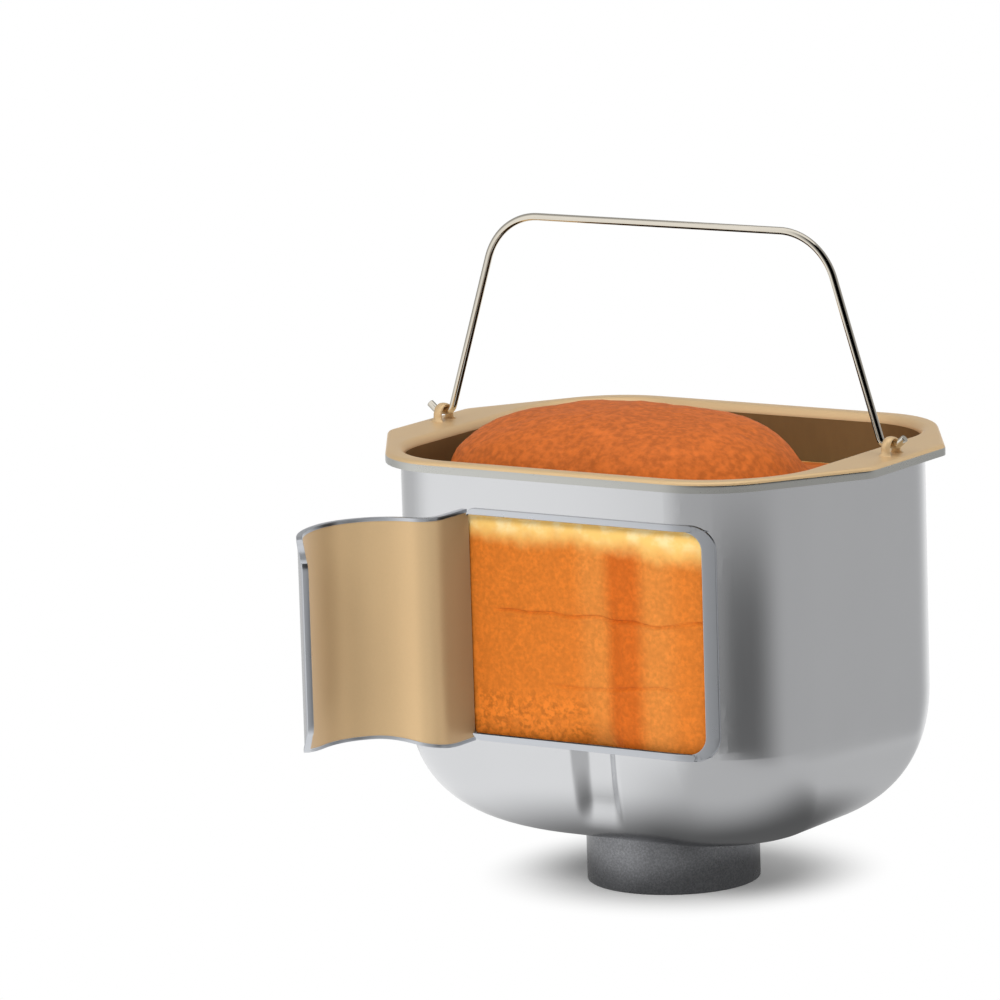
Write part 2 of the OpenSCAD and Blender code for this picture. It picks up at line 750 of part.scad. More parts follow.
module loaf()
    color("#c8742f")
        difference() {
            skin(concat(
                [for (s = curve_shares) pan_ring(s, inset, rib_depth + rib_room, rib_w + 1)],
                [for (z = wall_heights) wall_ring(z, inset, rib_depth + rib_room, rib_w + 1)],
                [wall_ring(shoulder_z - 4, inset), wall_ring(shoulder_z - 1, inset + 1.5)],
                [for (t = crown_shares) crown_ring(t)]));
            blade_space();
            at_rivets()
                translate([0, 0, floor_z])
                    cylinder(d = rivet_head_d + 2 * head_room, h = wall + rivet_head_t + head_room,
                             $fn = 32);
        }

pan_shell();
pan_rim();
window_trim();
window_flap();
flap_trim();
base_collar();
collar_rivets();
housing_gasket();
bearing_housing();
housing_washer();
housing_nut();
lower_bush();
oil_felt();
upper_bush();
shaft_seal();
seal_cap();
upper_thrust_washer();
lower_thrust_washer();
drive_shaft();
shaft_circlip();
drive_coupling();
coupling_pin();
kneading_paddle();
bail_handle();
loaf();
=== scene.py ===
"""Baking pan of a bread machine, with a loaf in it, shaped and finished around its construction frame.

Everything is in metres. The pan stands on its collar at the origin, +X runs along its length and
-Y is the front, where the window is.
"""

import math

import bmesh
import bpy
import numpy as np
from bpy.props import FloatProperty, FloatVectorProperty, PointerProperty
from mathutils import Matrix, Vector, noise


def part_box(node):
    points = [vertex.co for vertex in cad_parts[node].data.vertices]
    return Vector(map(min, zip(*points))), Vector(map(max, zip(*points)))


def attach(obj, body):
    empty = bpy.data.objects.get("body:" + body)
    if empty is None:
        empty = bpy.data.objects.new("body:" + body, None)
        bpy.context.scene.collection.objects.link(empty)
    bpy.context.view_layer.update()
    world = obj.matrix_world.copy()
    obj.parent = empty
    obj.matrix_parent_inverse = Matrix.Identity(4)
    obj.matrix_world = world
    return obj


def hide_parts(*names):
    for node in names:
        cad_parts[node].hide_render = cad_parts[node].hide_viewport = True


bl_info = {
    "name": "Bread Pan Builder",
    "version": (1, 0, 0),
    "blender": (4, 5, 0),
    "location": "View3D > Sidebar > Bread Pan",
    "description": "Shapes and finishes the baking pan of a bread machine and the loaf inside it",
    "category": "Add Mesh",
}

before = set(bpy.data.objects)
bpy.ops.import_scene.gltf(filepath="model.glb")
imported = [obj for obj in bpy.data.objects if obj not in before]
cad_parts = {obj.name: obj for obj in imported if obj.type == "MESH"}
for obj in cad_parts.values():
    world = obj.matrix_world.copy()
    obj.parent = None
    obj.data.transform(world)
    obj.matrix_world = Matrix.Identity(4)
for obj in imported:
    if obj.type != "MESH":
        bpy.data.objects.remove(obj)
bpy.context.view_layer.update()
MM = 0.001

SHELL_LOW, SHELL_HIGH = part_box("pan_shell")
RIM_LOW, RIM_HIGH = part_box("pan_rim")
COLLAR_LOW, COLLAR_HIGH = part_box("base_collar")
BAIL_LOW, BAIL_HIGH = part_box("bail_handle")


# ---- colours and sizes ----


def linear(code):
    """Linear RGB with full alpha for an sRGB hex colour such as "#c8742f"."""
    shares = [int(code[i:i + 2], 16) / 255 for i in (1, 3, 5)]
    return [s / 12.92 if s <= 0.04045 else ((s + 0.055) / 1.055) ** 2.4 for s in shares] + [1.0]


def length(name, millimetres, description):
    """Size property in metres, with its default given in millimetres."""
    return FloatProperty(name=name, description=description, default=millimetres * MM,
                         min=0.0, unit="LENGTH", subtype="DISTANCE")


def colour(name, code, description):
    """Colour property with its default given as an sRGB hex colour."""
    return FloatVectorProperty(name=name, description=description, default=linear(code),
                               size=4, min=0.0, max=1.0, subtype="COLOR")


class PanSizes(bpy.types.PropertyGroup):
    """Sizes of the pan, the bail and the loaf."""

    pan_l: length("Length", (SHELL_HIGH.x - SHELL_LOW.x) / MM, "Outside length of the upright wall")
    pan_w: length("Width", (SHELL_HIGH.y - SHELL_LOW.y) / MM, "Outside width of the upright wall")
    wall_top: length("Wall height", SHELL_HIGH.z / MM, "Height of the wall's upper edge")
    floor_z: length("Floor height", SHELL_LOW.z / MM, "Height of the floor's underside")
    wall: length("Wall", 1.5, "Thickness of the drawn sheet")
    corner_r: length("Corner", 38.5, "Outside radius of the upright corners")
    curve_h: length("Curve height", 50, "Height of the curve between walls and floor")
    floor_half: length("Floor half-width", 34, "Half of the flat floor's width")
    floor_r: length("Floor corner", 28, "Corner radius of the flat floor")
    end_power: FloatProperty(name="End fullness", default=2.8,
                             description="Fullness of the lower curve at the two ends")
    side_power: FloatProperty(name="Side fullness", default=1.65,
                              description="Fullness of the lower curve at the long sides")
    rib_x: length("Rib position", 12.7, "Distance of each rib from the middle of its long side")
    rib_w: length("Rib width", 20, "Width of a rib")
    rib_depth: length("Rib depth", 4, "Depth that a rib is pressed into the pan")
    rib_top: length("Rib height", 100, "Height of a rib's upper end above the floor")
    rim_top: length("Rim height", 164.4, "Height of the rim's top face")
    side_flange: length("Side flange", (RIM_HIGH.y - SHELL_HIGH.y) / MM,
                        "Flange width along the long sides")
    end_flange: length("End flange", (RIM_HIGH.x - SHELL_HIGH.x) / MM,
                       "Flange width at the two ends")
    rim_roll: length("Rim roll", 3, "Radius of the roll from the wall into the flange")
    rim_edge: length("Rim edge", 1.8, "Radius of the flange's outer edge")
    window_w: length("Window width", 102.4, "Width of the window in the front wall")
    window_h: length("Window height", 85.4, "Height of the window")
    window_x: length("Window position", 12.7, "Distance of its middle from the pan's middle")
    window_z: length("Window centre height", 105.1, "Height of the window's middle")
    window_r: length("Window corner", 9, "Radius of the window's free corners")
    hinge_r: length("Hinge corner", 4, "Radius of the window's corners at the flap")
    trim_w: length("Edging width", 2.4, "Width of the bright edging on window and flap")
    trim_proud: length("Edging height", 0.7, "Distance that the edging stands proud")
    wire_d: length("Wire", 2.8, "Diameter of the bail's wire")
    crust_gap: length("Crust gap", 0.6, "Gap between the crust and the pan")
    crown_h: length("Crown height", 30.5, "Height of the crown above the shoulder")
    crown_left: length("Crown left", 7.5, "Distance from the pan's left end to the crown")
    crown_right: length("Crown right", 26.5, "Distance from the pan's right end to the crown")
    crown_front: length("Crown front", 12, "Distance from the pan's front to the crown")
    crown_back: length("Crown back", 36, "Distance from the pan's back to the crown")


class PanColours(bpy.types.PropertyGroup):
    """Colours of the main finishes."""

    aluminium: colour("Aluminium", "#d8d9db", "Drawn aluminium of the pan's outside")
    coating: colour("Coating", "#dcbc8e", "Champagne non-stick coating")
    # inner_shade: the coating's colour made darker for the inside of the pan, as painted shade
    inner_shade: colour("Baked coating", "#8a6b42", "Coating inside the pan, browned by baking")
    skirt: colour("Rim skirt", "#c6c6c1", "Bare edge under the coated rim")
    edging: colour("Edging", "#cdd0d5", "Bright edging of window and flap")
    casting: colour("Casting", "#87888b", "Cast base collar")
    wire: colour("Wire", "#dfd8ca", "Polished steel wire")
    crust: colour("Crust", "#dd7c2a", "Baked crust against the pan")
    crust_dark: colour("Dark crust", "#a9561f", "Browned crust on the crown")
    crust_pale: colour("Pale crust", "#fdcf76", "Crust that has hardly browned")
    floor: colour("Floor", "#f4f4f3", "Studio floor")


# ---- modelling helpers ----


def deselect_all():
    """Leaves nothing selected, so that an operator acts on the new piece only."""
    bpy.ops.object.select_all(action="DESELECT")


def named(name):
    """Names the object that an operator has just added."""
    obj = bpy.context.active_object
    obj.name = name
    obj.data.name = name
    return obj


def activate(obj):
    """Selects one object alone and makes it the active one."""
    deselect_all()
    obj.select_set(True)
    bpy.context.view_layer.objects.active = obj


def edit_mode():
    """Goes into edit mode."""
    bpy.ops.object.mode_set(mode="EDIT")


def object_mode():
    """Goes back to object mode."""
    bpy.ops.object.mode_set(mode="OBJECT")


def apply_place(obj):
    """Puts a piece's place, turn and scale into its mesh."""
    activate(obj)
    bpy.ops.object.transform_apply(location=True, rotation=True, scale=True)


def middle(item):
    """Middle of an edit-mode vertex, edge or face."""
    if isinstance(item, bmesh.types.BMVert):
        return item.co
    if isinstance(item, bmesh.types.BMEdge):
        return (item.verts[0].co + item.verts[1].co) / 2
    return item.calc_center_median()


def select(obj, kind, test):
    """In edit mode, selects the vertices, edges or faces that pass the test."""
    bpy.ops.mesh.select_mode(type=kind)
    bpy.ops.mesh.select_all(action="DESELECT")
    mesh = bmesh.from_edit_mesh(obj.data)
    for item in {"VERT": mesh.verts, "EDGE": mesh.edges, "FACE": mesh.faces}[kind]:
        item.select = bool(test(item))
    mesh.select_flush_mode()
    bmesh.update_edit_mesh(obj.data)


def add_modifier(obj, kind, **settings):
    """Adds a modifier with its settings and applies it."""
    activate(obj)
    modifier = obj.modifiers.new(kind.title(), kind)
    for name, value in settings.items():
        setattr(modifier, name, value)
    bpy.ops.object.modifier_apply(modifier=modifier.name)


def smooth(obj, degrees=40):
    """Smooth shading, with edges sharper than an angle left crisp."""
    activate(obj)
    bpy.ops.object.shade_smooth_by_angle(angle=math.radians(degrees))


def drawn_sheet(name, rings):
    """Sheet laid over closed rings of points, outside facing out, its two ends joined."""
    around, up = len(rings[0]), len(rings) - 1
    deselect_all()
    bpy.ops.mesh.primitive_grid_add(x_subdivisions=around, y_subdivisions=up, size=1)
    obj = named(name)
    for vertex in obj.data.vertices:
        i = round((vertex.co.x + 0.5) * around) % around
        j = round((vertex.co.y + 0.5) * up)
        vertex.co = rings[j][i]
    edit_mode()
    bpy.ops.mesh.select_all(action="SELECT")
    bpy.ops.mesh.remove_doubles(threshold=MM / 1000)
    object_mode()
    return obj


def two_sided(obj):
    """Two material slots for a sheet, so that its second side can have its own finish."""
    for _ in range(2):
        obj.data.materials.append(None)


def finish_piece(obj, materials, body, slot, *nodes):
    """Gives a piece its finishes, its body and the nodes it stands for; its slot argument is not used.
    """
    slots = obj.data.materials
    for k, material in enumerate(materials):
        if k < len(slots):
            slots[k] = material
        else:
            slots.append(material)
    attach(obj, body)
    if nodes:
        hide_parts(*nodes)


def dress(material, *nodes):
    """Gives construction nodes their finish."""
    for name in nodes:
        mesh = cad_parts[name].data
        mesh.materials.clear()
        mesh.materials.append(material)


# ---- the pan's form ----


def smooth_step(x, a, b):
    """0 below a, 1 above b, and a smooth rise between."""
    u = min(1.0, max(0.0, (x - a) / (b - a)))
    return u * u * (3 - 2 * u)


def flank(x, a, b):
    """0 below a, 1 above b, and between them a straight slope with rounded ends."""
    u = min(1.0, max(0.0, (x - a) / (b - a)))
    w = FLANK_ROUND
    if w < u < 1 - w:
        return (u - w / 2) / (1 - w)
    return min(u, 1 - u) ** 2 / (2 * w * (1 - w)) if u < 0.5 else (
        1 - (1 - u) ** 2 / (2 * w * (1 - w)))


def outline(arcs, arc_steps, straight_steps):
    """Closed outline, anticlockwise from above, of arcs (x, y, radius, from, to) and straights."""
    points = []
    for k, (x, y, r, start, end) in enumerate(arcs):
        for t in np.radians(np.linspace(start, end, arc_steps + 1)):
            points.append((x + r * math.cos(t), y + r * math.sin(t)))
        nx, ny, nr, nstart, _ = arcs[(k + 1) % len(arcs)]
        t = math.radians(nstart)
        here, there = points[-1], (nx + nr * math.cos(t), ny + nr * math.sin(t))
        steps = straight_steps[k % len(straight_steps)]
        for i in range(1, steps):
            share = i / steps
            points.append(tuple(p + (q - p) * share for p, q in zip(here, there)))
    return points


def rounded_arcs(a, b, r):
    """The four corners of a rounded rectangle of half-length a and half-width b."""
    return [(a - r, r - b, r, -90, 0), (a - r, b - r, r, 0, 90),
            (r - a, b - r, r, 90, 180), (r - a, r - b, r, 180, 270)]


def rib_in(sizes, x, z, extra):
    """Depth of a rib at a distance along the long side, and a height."""
    off = abs(x - sizes.rib_x)
    half = sizes.rib_w / 2 + GROOVE_SPREAD * extra
    top = sizes.floor_z + sizes.rib_top
    return ((sizes.rib_depth + extra) * (1 - flank(off, half - RIB_FLANK - GROOVE_SPREAD * extra, half))
            * smooth_step(z, *(sizes.floor_z + rise for rise in RIB_FOOT))
            * (1 - smooth_step(z, top - RIB_HEAD, top)))


def form_ring(sizes, a, b, r, z, steps, extra=0.0, inward=(1.0, 0.0)):
    """Ring of points on a rounded rectangle, pressed inward (Y, Z) where the two ribs are."""
    corner, side, end = steps
    ring = []
    for x, y in outline(rounded_arcs(a, b, r), corner, (end, side)):
        depth = 0.0
        if inward and abs(x) < a - r:
            lean = RIB_LEAN * (sizes.pan_w / 2 - b - extra)
            depth = rib_in(sizes, math.copysign(x, -x * y) + lean, z, extra)
            if extra and y < 0:   # the crust has sprung back where the window leaves it free
                low = sizes.window_z - sizes.window_h / 2
                depth *= 1 - SPRING_BACK * smooth_step(z, low, low + SPRING_RISE)
        ring.append((x, y, z) if not depth else
                    (x, y - math.copysign(depth * inward[0], y), z + depth * inward[1]))
    return ring


def curve_ring(sizes, share, inset, steps, extra=0.0):
    """Ring on the curve between walls and floor: share 0 is the wall and 1 the floor."""
    end_run, side_run, beyond = (
        1 - (1 - s ** power) ** (1 / power)
        for s, power in ((share, sizes.end_power), (share, sizes.side_power),
                         (share * (1 - NUDGE), sizes.side_power)))
    a = sizes.pan_l / 2 - (sizes.pan_l / 2 - sizes.floor_half) * end_run - inset
    b = sizes.pan_w / 2 - (sizes.pan_w / 2 - sizes.floor_half) * side_run - inset
    r = sizes.corner_r + (sizes.floor_r - sizes.corner_r) * share ** CORNER_POWER - inset
    z = sizes.floor_z + sizes.curve_h * (1 - share) + inset * share
    slope = Vector((sizes.curve_h * share * NUDGE,
                    (sizes.pan_w / 2 - sizes.floor_half) * (side_run - beyond)))
    inward = slope.normalized() if share else (1.0, 0.0)
    return form_ring(sizes, a, b, r, z, steps, extra, inward)


def wall_ring(sizes, z, inset, steps, extra=0.0):
    """Ring on the upright wall."""
    return form_ring(sizes, sizes.pan_l / 2 - inset, sizes.pan_w / 2 - inset,
                     sizes.corner_r - inset, z, steps, extra)


def wall_depth(sizes, x):
    """Y of the front wall's outside at x, which turns away on the corners."""
    past = max(0.0, abs(x) - (sizes.pan_l / 2 - sizes.corner_r))
    return -sizes.pan_w / 2 + sizes.corner_r - math.sqrt(sizes.corner_r ** 2 - past ** 2)


def blank(name, width, height, radius, corners):
    """Upright flat blank about the origin, facing -Y, with the given corners rounded."""
    deselect_all()
    bpy.ops.mesh.primitive_plane_add(size=1, rotation=(math.pi / 2, 0, 0))
    obj = named(name)
    obj.scale = (width, height, 1)
    apply_place(obj)
    edit_mode()
    select(obj, "VERT", lambda v: any(v.co.x * x > 0 and v.co.z * z > 0 for x, z in corners))
    bpy.ops.mesh.bevel(offset=radius, segments=10, affect="VERTICES")
    object_mode()
    return obj


def slice_upright(obj, stations):
    """Cuts a flat blank along upright lines, so that it can be bent."""
    bpy.context.view_layer.objects.active = obj
    edit_mode()
    for x in stations:
        bpy.ops.mesh.select_all(action="SELECT")
        bpy.ops.mesh.bisect(plane_co=(x, 0, 0), plane_no=(1, 0, 0))
    object_mode()


# ---- finishes ----


def add_node(tree, kind, inputs=None, **settings):
    """Adds a node with its settings, and sets or links each of the inputs given."""
    node = tree.nodes.new(kind)
    for name, value in settings.items():
        setattr(node, name, value)
    for key, value in (inputs or {}).items():
        if isinstance(value, bpy.types.NodeSocket):
            tree.links.new(value, node.inputs[key])
        else:
            node.inputs[key].default_value = value
    return node


def new_material(name, **shader_inputs):
    """New material: its tree, its shader with constants set, and Object coordinates."""
    material = bpy.data.materials.new(name + "_finish")
    material.use_nodes = True
    tree = material.node_tree
    shader = tree.nodes["Principled BSDF"]
    for key, value in shader_inputs.items():
        shader.inputs[key.replace("_", " ")].default_value = value
    coords = add_node(tree, "ShaderNodeTexCoord").outputs["Object"]
    return material, tree, shader, coords


def tinted(base, level):
    """Linear colour made darker or lighter, with full alpha."""
    return [min(1.0, c * level) for c in base[:3]] + [1.0]


def link_shader(tree, shader, tone, relief, gloss=None):
    """Links a finish's colour, its relief and, where it varies, its roughness."""
    for name, output in (("Base Color", tone), ("Roughness", gloss), ("Normal", relief)):
        if output:
            tree.links.new(output, shader.inputs[name])


def lay_over(tree, under, over, *ramps, top=1.0):
    """One colour laid over another where every ramp (value, low, high) has risen."""
    share = None
    for value, low, high in ramps:
        rise = add_node(tree, "ShaderNodeMapRange",
                        {"Value": value, "From Min": low, "From Max": high, "To Max": top},
                        interpolation_type="SMOOTHSTEP").outputs[0]
        share = rise if share is None else add_node(
            tree, "ShaderNodeMath", {0: share, 1: rise}, operation="MULTIPLY").outputs[0]
    return add_node(tree, "ShaderNodeMix", {0: share, 6: under, 7: over},
                    data_type="RGBA").outputs[2]


def worked_metal(name, base, rough, grain, depth, spread=0.05, tint=0.06, metallic=1.0):
    """Metal with a directional grain: grain gives its size along each axis, in millimetres."""
    material, tree, shader, coords = new_material(name, Metallic=metallic)
    scaled = add_node(tree, "ShaderNodeMapping",
                      {"Vector": coords, "Scale": [1 / (g * MM) for g in grain]})
    lines = add_node(tree, "ShaderNodeTexNoise",
                     {"Vector": scaled.outputs[0], "Scale": 1.0, "Detail": 3.0})
    cloud = add_node(tree, "ShaderNodeTexNoise",
                     {"Vector": coords, "Scale": 1 / (25 * MM), "Detail": 2.0})
    both = add_node(tree, "ShaderNodeMath",
                    {0: lines.outputs[0], 1: cloud.outputs[0]}, operation="ADD")
    blend = add_node(tree, "ShaderNodeMapRange",
                     {"Value": both.outputs[0], "From Min": 0.6, "From Max": 1.4})
    shade = add_node(tree, "ShaderNodeMix",
                     {0: blend.outputs[0], 6: tinted(base, 1 - tint), 7: tinted(base, 1 + tint)},
                     data_type="RGBA")
    gloss = add_node(tree, "ShaderNodeMapRange",
                     {"Value": both.outputs[0], "From Min": 0.6, "From Max": 1.4,
                      "To Min": rough - spread, "To Max": rough + spread})
    relief = add_node(tree, "ShaderNodeBump",
                      {"Height": lines.outputs[0], "Distance": depth * MM, "Strength": 1.0})
    link_shader(tree, shader, shade.outputs[2], relief.outputs[0], gloss.outputs[0])
    return material


def drawn_aluminium(colours):
    """Deep-drawn aluminium, satin: soft mirror with faint upright draw lines."""
    return worked_metal("drawn_aluminium", list(colours.aluminium), 0.22, (0.5, 0.5, 40), 0.001,
                        spread=0.02, tint=0.015)


def champagne_coating(colours):
    """Sprayed ceramic coating over aluminium: pearly gold with a fine orange-peel skin."""
    return worked_metal("champagne_coating", list(colours.coating), 0.38, (0.9, 0.9, 0.9), 0.003,
                        spread=0.04, tint=0.02, metallic=0.5)


def shaded_inner_coating(colours):
    """The same coating inside the pan, darker and duller: the darker colour is painted shade on the
    inside of the wall.
    """
    return worked_metal("shaded_inner_coating", list(colours.inner_shade), 0.46, (3, 3, 9), 0.003,
                        spread=0.05, tint=0.08, metallic=0.5)


def bare_skirt(colours):
    """Turned-down edge where the coating thins out: greyish satin metal."""
    return worked_metal("bare_skirt", list(colours.skirt), 0.3, (2, 2, 0.5), 0.001, tint=0.03)


def bright_edging(colours):
    """Rolled and buffed aluminium strip: brighter and sharper than the wall."""
    return worked_metal("bright_edging", list(colours.edging), 0.3, (6, 6, 6), 0.001, tint=0.02)


def cast_collar(colours):
    """Sand-cast aluminium, shot-blasted: dark, rough and speckled by its grit."""
    material, tree, shader, coords = new_material("cast_collar", Metallic=0.85)
    grit = add_node(tree, "ShaderNodeTexNoise",
                    {"Vector": coords, "Scale": 1 / (0.7 * MM), "Detail": 4.0, "Roughness": 0.7})
    cloud = add_node(tree, "ShaderNodeTexNoise",
                     {"Vector": coords, "Scale": 1 / (12 * MM), "Detail": 2.0})
    pale = add_node(tree, "ShaderNodeMapRange",
                    {"Value": grit.outputs[0], "From Min": 0.42, "From Max": 0.68})
    shade = add_node(tree, "ShaderNodeMix",
                     {0: pale.outputs[0], 6: tinted(colours.casting, 0.8),
                      7: tinted(colours.casting, 1.25)}, data_type="RGBA")
    gloss = add_node(tree, "ShaderNodeMapRange",
                     {"Value": cloud.outputs[0], "From Min": 0.3, "From Max": 0.7,
                      "To Min": 0.24, "To Max": 0.34})
    relief = add_node(tree, "ShaderNodeBump",
                      {"Height": grit.outputs[0], "Distance": 0.06 * MM, "Strength": 0.6})
    link_shader(tree, shader, shade.outputs[2], relief.outputs[0], gloss.outputs[0])
    return material


def polished_wire(colours):
    """Drawn stainless wire, polished: a near mirror with faint lines along it."""
    return worked_metal("polished_wire", list(colours.wire), 0.12, (8, 0.4, 8), 0.001,
                        spread=0.03, tint=0.03)


def bread_crust(colours):
    """Baked crust: orange at the hot wall, pale below the shoulder, browned on the crown; with painted
    light and shade on the rib's groove and in the bubbled patch.
    """
    material, tree, shader, coords = new_material(
        "bread_crust", Roughness=0.6, Specular_IOR_Level=0.15)
    split = add_node(tree, "ShaderNodeSeparateXYZ", {0: coords})
    along, up = split.outputs["X"], split.outputs["Z"]

    # noise of each grain: size in millimetres and detail
    mottling, blotch, speck, pits, patch, freckle, cloud = (
        add_node(tree, "ShaderNodeTexNoise", {"Vector": coords, "Scale": 1 / (size * MM),
                                              "Detail": detail}).outputs[0]
        for size, detail in ((1.6, 6.0), (5, 4.0), (1.0, 4.0), (1.9, 3.0), (13, 3.0),
                             (2.2, 4.0), (5, 5.0)))
    crust, dark = colours.crust, colours.crust_dark
    # side of the loaf: fine mottling over soft patches
    mottle = lay_over(tree, tinted(crust, 0.84), tinted(crust, 1.12), (mottling, 0.25, 0.75))
    side = lay_over(tree, mottle, tinted(crust, 0.86), (blotch, 0.38, 0.68), top=0.5)
    # painted light and shade of the groove that the pan's rib leaves: a shaded band between two lit
    # ones
    rib_shading = side
    for start, end, tint in RIB_SHADING_BANDS:
        band_shading = add_node(tree, "ShaderNodeVectorMath", {0: side, 1: tint},
                           operation="MULTIPLY").outputs[0]
        rib_shading = lay_over(tree, rib_shading, band_shading, (along, start, end))
    # bubbled patch low on the left: darker pits and lighter ridges between them, as painted shade and
    # painted highlight
    pit_shading = lay_over(tree, tinted(crust, 1.2), tinted(crust, 0.74), (pits, 0.62, 0.32))
    bubbled = lay_over(tree, rib_shading, pit_shading, (along, *BUBBLES_X), (up, *BUBBLES_Z),
                       (blotch, 0.32, 0.5))
    # pale band under the shoulder, with a wandering lower edge that sinks to the right
    edge = up
    for source, lift in ((patch, 0.010), (along, 0.03)):
        edge = add_node(tree, "ShaderNodeMath", {0: source, 1: lift, 2: edge},
                        operation="MULTIPLY_ADD").outputs[0]
    pale = lay_over(tree, list(colours.crust_pale), linear("#ffe3a4"),
                    (edge, *PALEST_RISE), (cloud, 0.38, 0.68))
    banded = lay_over(tree, bubbled, pale, (edge, *PALE_RISE))
    # crown: browned above the shoulder, lighter where it is thin
    crown = lay_over(tree, list(dark), tinted(dark, 1.4), (freckle, 0.32, 0.68))
    crown = lay_over(tree, crown, tinted(dark, 1.8), (blotch, 0.45, 0.75), top=0.5)
    whole = lay_over(tree, banded, crown, (up, *CROWN_RISE))
    relief = add_node(tree, "ShaderNodeBump",
                      {"Height": speck, "Distance": 0.18 * MM, "Strength": 0.6})
    link_shader(tree, shader, whole, relief.outputs[0])
    return material


def moulded(name, base, rough, grain, depth):
    """Non-metal with a fine even skin: grain in millimetres."""
    return worked_metal(name, linear(base), rough, (grain,) * 3, depth, metallic=0.0)


# ---- pieces ----

SHEET_STEPS = (20, 110, 12)   # divisions of a corner, a long side and an end
LOAF_STEPS = (22, 96, 24)


def finish(context, name):
    """Finish of that name, made the first time that a piece asks for it."""
    return bpy.data.materials.get(name + "_finish") or FINISHES[name](context.scene.pan_colours)


class PAN_OT_wall(bpy.types.Operator):
    """Draws the pan's walls, lower curve and floor in one sheet and cuts the window"""

    bl_idname = "pan.wall"
    bl_label = "Pan Wall"

    def execute(self, context):
        sizes = context.scene.pan_sizes
        floor = curve_ring(sizes, 1.0, 0.0, SHEET_STEPS)
        rings = []
        for share in (0.0, 0.35, 0.7):
            rings.append([tuple(p * (share + (1 - share) * HOLE_R / math.hypot(x, y))
                                for p in (x, y)) + (z,) for x, y, z in floor])
        for i in range(CURVE_ROWS, -1, -1):
            share = math.sin(math.pi / 2 * i / CURVE_ROWS)
            rings.append(curve_ring(sizes, share, 0.0, SHEET_STEPS))
        top = sizes.rim_top - sizes.rim_roll
        for z in np.linspace(sizes.floor_z + sizes.curve_h, top, WALL_ROWS)[1:]:
            rings.append(wall_ring(sizes, z, 0.0, SHEET_STEPS))
        wall = drawn_sheet("pan_wall", rings)
        cut_window(wall, sizes)
        two_sided(wall)
        add_modifier(wall, "SOLIDIFY", thickness=sizes.wall, offset=-1, use_even_offset=True,
                     material_offset=1)
        smooth(wall, 35)
        add_modifier(wall, "WEIGHTED_NORMAL", keep_sharp=True)
        # the inner side of the wall takes the darker coating, which is painted shade
        finish_piece(wall, [finish(context, "drawn_aluminium"), finish(context, "shaded_inner_coating")],
                     "pan", "drawn_aluminium", "pan_shell")
        return {"FINISHED"}


def cut_window(wall, sizes):
    """Cuts the window out with the planes that its rounded outline touches."""
    # the edging laps over the sheet above the window and to its right
    lap = sizes.trim_w / 2
    half_w, half_h = (sizes.window_w - lap) / 2, (sizes.window_h - lap) / 2 - sizes.trim_w / 8
    centre_x = sizes.window_x - lap / 2
    centre_z = sizes.window_z - lap / 2 + sizes.trim_w / 8
    radii = {1: sizes.window_r - lap, -1: sizes.hinge_r - lap}

    def off(face, x, z):
        centre = face.calc_center_median()
        return (centre.x - x, centre.z - z) if centre.y < 0 else (1, 1)

    def in_window(face):
        x, z = off(face, centre_x, centre_z)
        r = radii[math.copysign(1, x)]
        return math.hypot(max(0.0, abs(x) - half_w + r), max(0.0, abs(z) - half_h + r)) < r

    bpy.context.view_layer.objects.active = wall
    edit_mode()
    for turn in range(0, 360, CUT_TURN):
        nx, nz = (round(v, 9) for v in (math.cos(math.radians(turn)), math.sin(math.radians(turn))))
        r = radii[math.copysign(1, nx)]
        near = r + CUT_BEYOND
        x = centre_x + math.copysign(half_w - r, nx)
        z = centre_z + math.copysign(half_h - r, nz)
        if turn % 90:
            select(wall, "FACE", lambda f: abs(off(f, x, z)[0]) < near and
                   abs(off(f, x, z)[1]) < near and off(f, x, z)[0] * nx > -r / 4
                   and off(f, x, z)[1] * nz > -r / 4)
        elif nx:
            select(wall, "FACE", lambda f: abs(off(f, x, z)[0]) < near
                   and abs(off(f, x, centre_z)[1]) < half_h + near)
        else:
            select(wall, "FACE", lambda f: abs(f.calc_center_median().z - z) < near)
        bpy.ops.mesh.bisect(plane_co=(x + r * nx, 0, z + r * nz), plane_no=(nx, 0, nz))
    select(wall, "FACE", in_window)
    bpy.ops.mesh.delete(type="FACE")
    select(wall, "FACE", lambda f: len(f.verts) > 4)
    bpy.ops.mesh.quads_convert_to_tris()
    object_mode()


def rim_arcs(sizes, inset):
    """The rim's outline: wide ends with chamfered corners and narrow long sides."""
    end_r, corner_r = RIM_END_R, sizes.corner_r - RIM_CORNER_LESS
    ex = sizes.pan_l / 2 + sizes.end_flange - end_r
    ey = sizes.pan_w / 2 - RIM_END_IN
    cx = sizes.pan_l / 2 - sizes.corner_r + RIM_CORNER_OUT
    cy = sizes.pan_w / 2 + sizes.side_flange - corner_r
    reach = math.hypot(cx - ex, cy - ey)
    turn = math.degrees(math.atan2(cy - ey, cx - ex) - math.acos((end_r - corner_r) / reach))
    arcs = []
    for sx, sy, a, b in ((1, 1, 0, 90), (-1, 1, 180, 90), (-1, -1, 180, 270), (1, -1, 360, 270)):
        way = 1 if b > a else -1
        end = (sx * ex, sy * ey, end_r - inset, a, a + way * turn)
        corner = (sx * cx, sy * cy, corner_r - inset, a + way * turn, b)
        if way > 0:
            arcs += [end, corner]
        else:
            arcs += [corner[:3] + corner[:2:-1], end[:3] + end[:2:-1]]
    return arcs


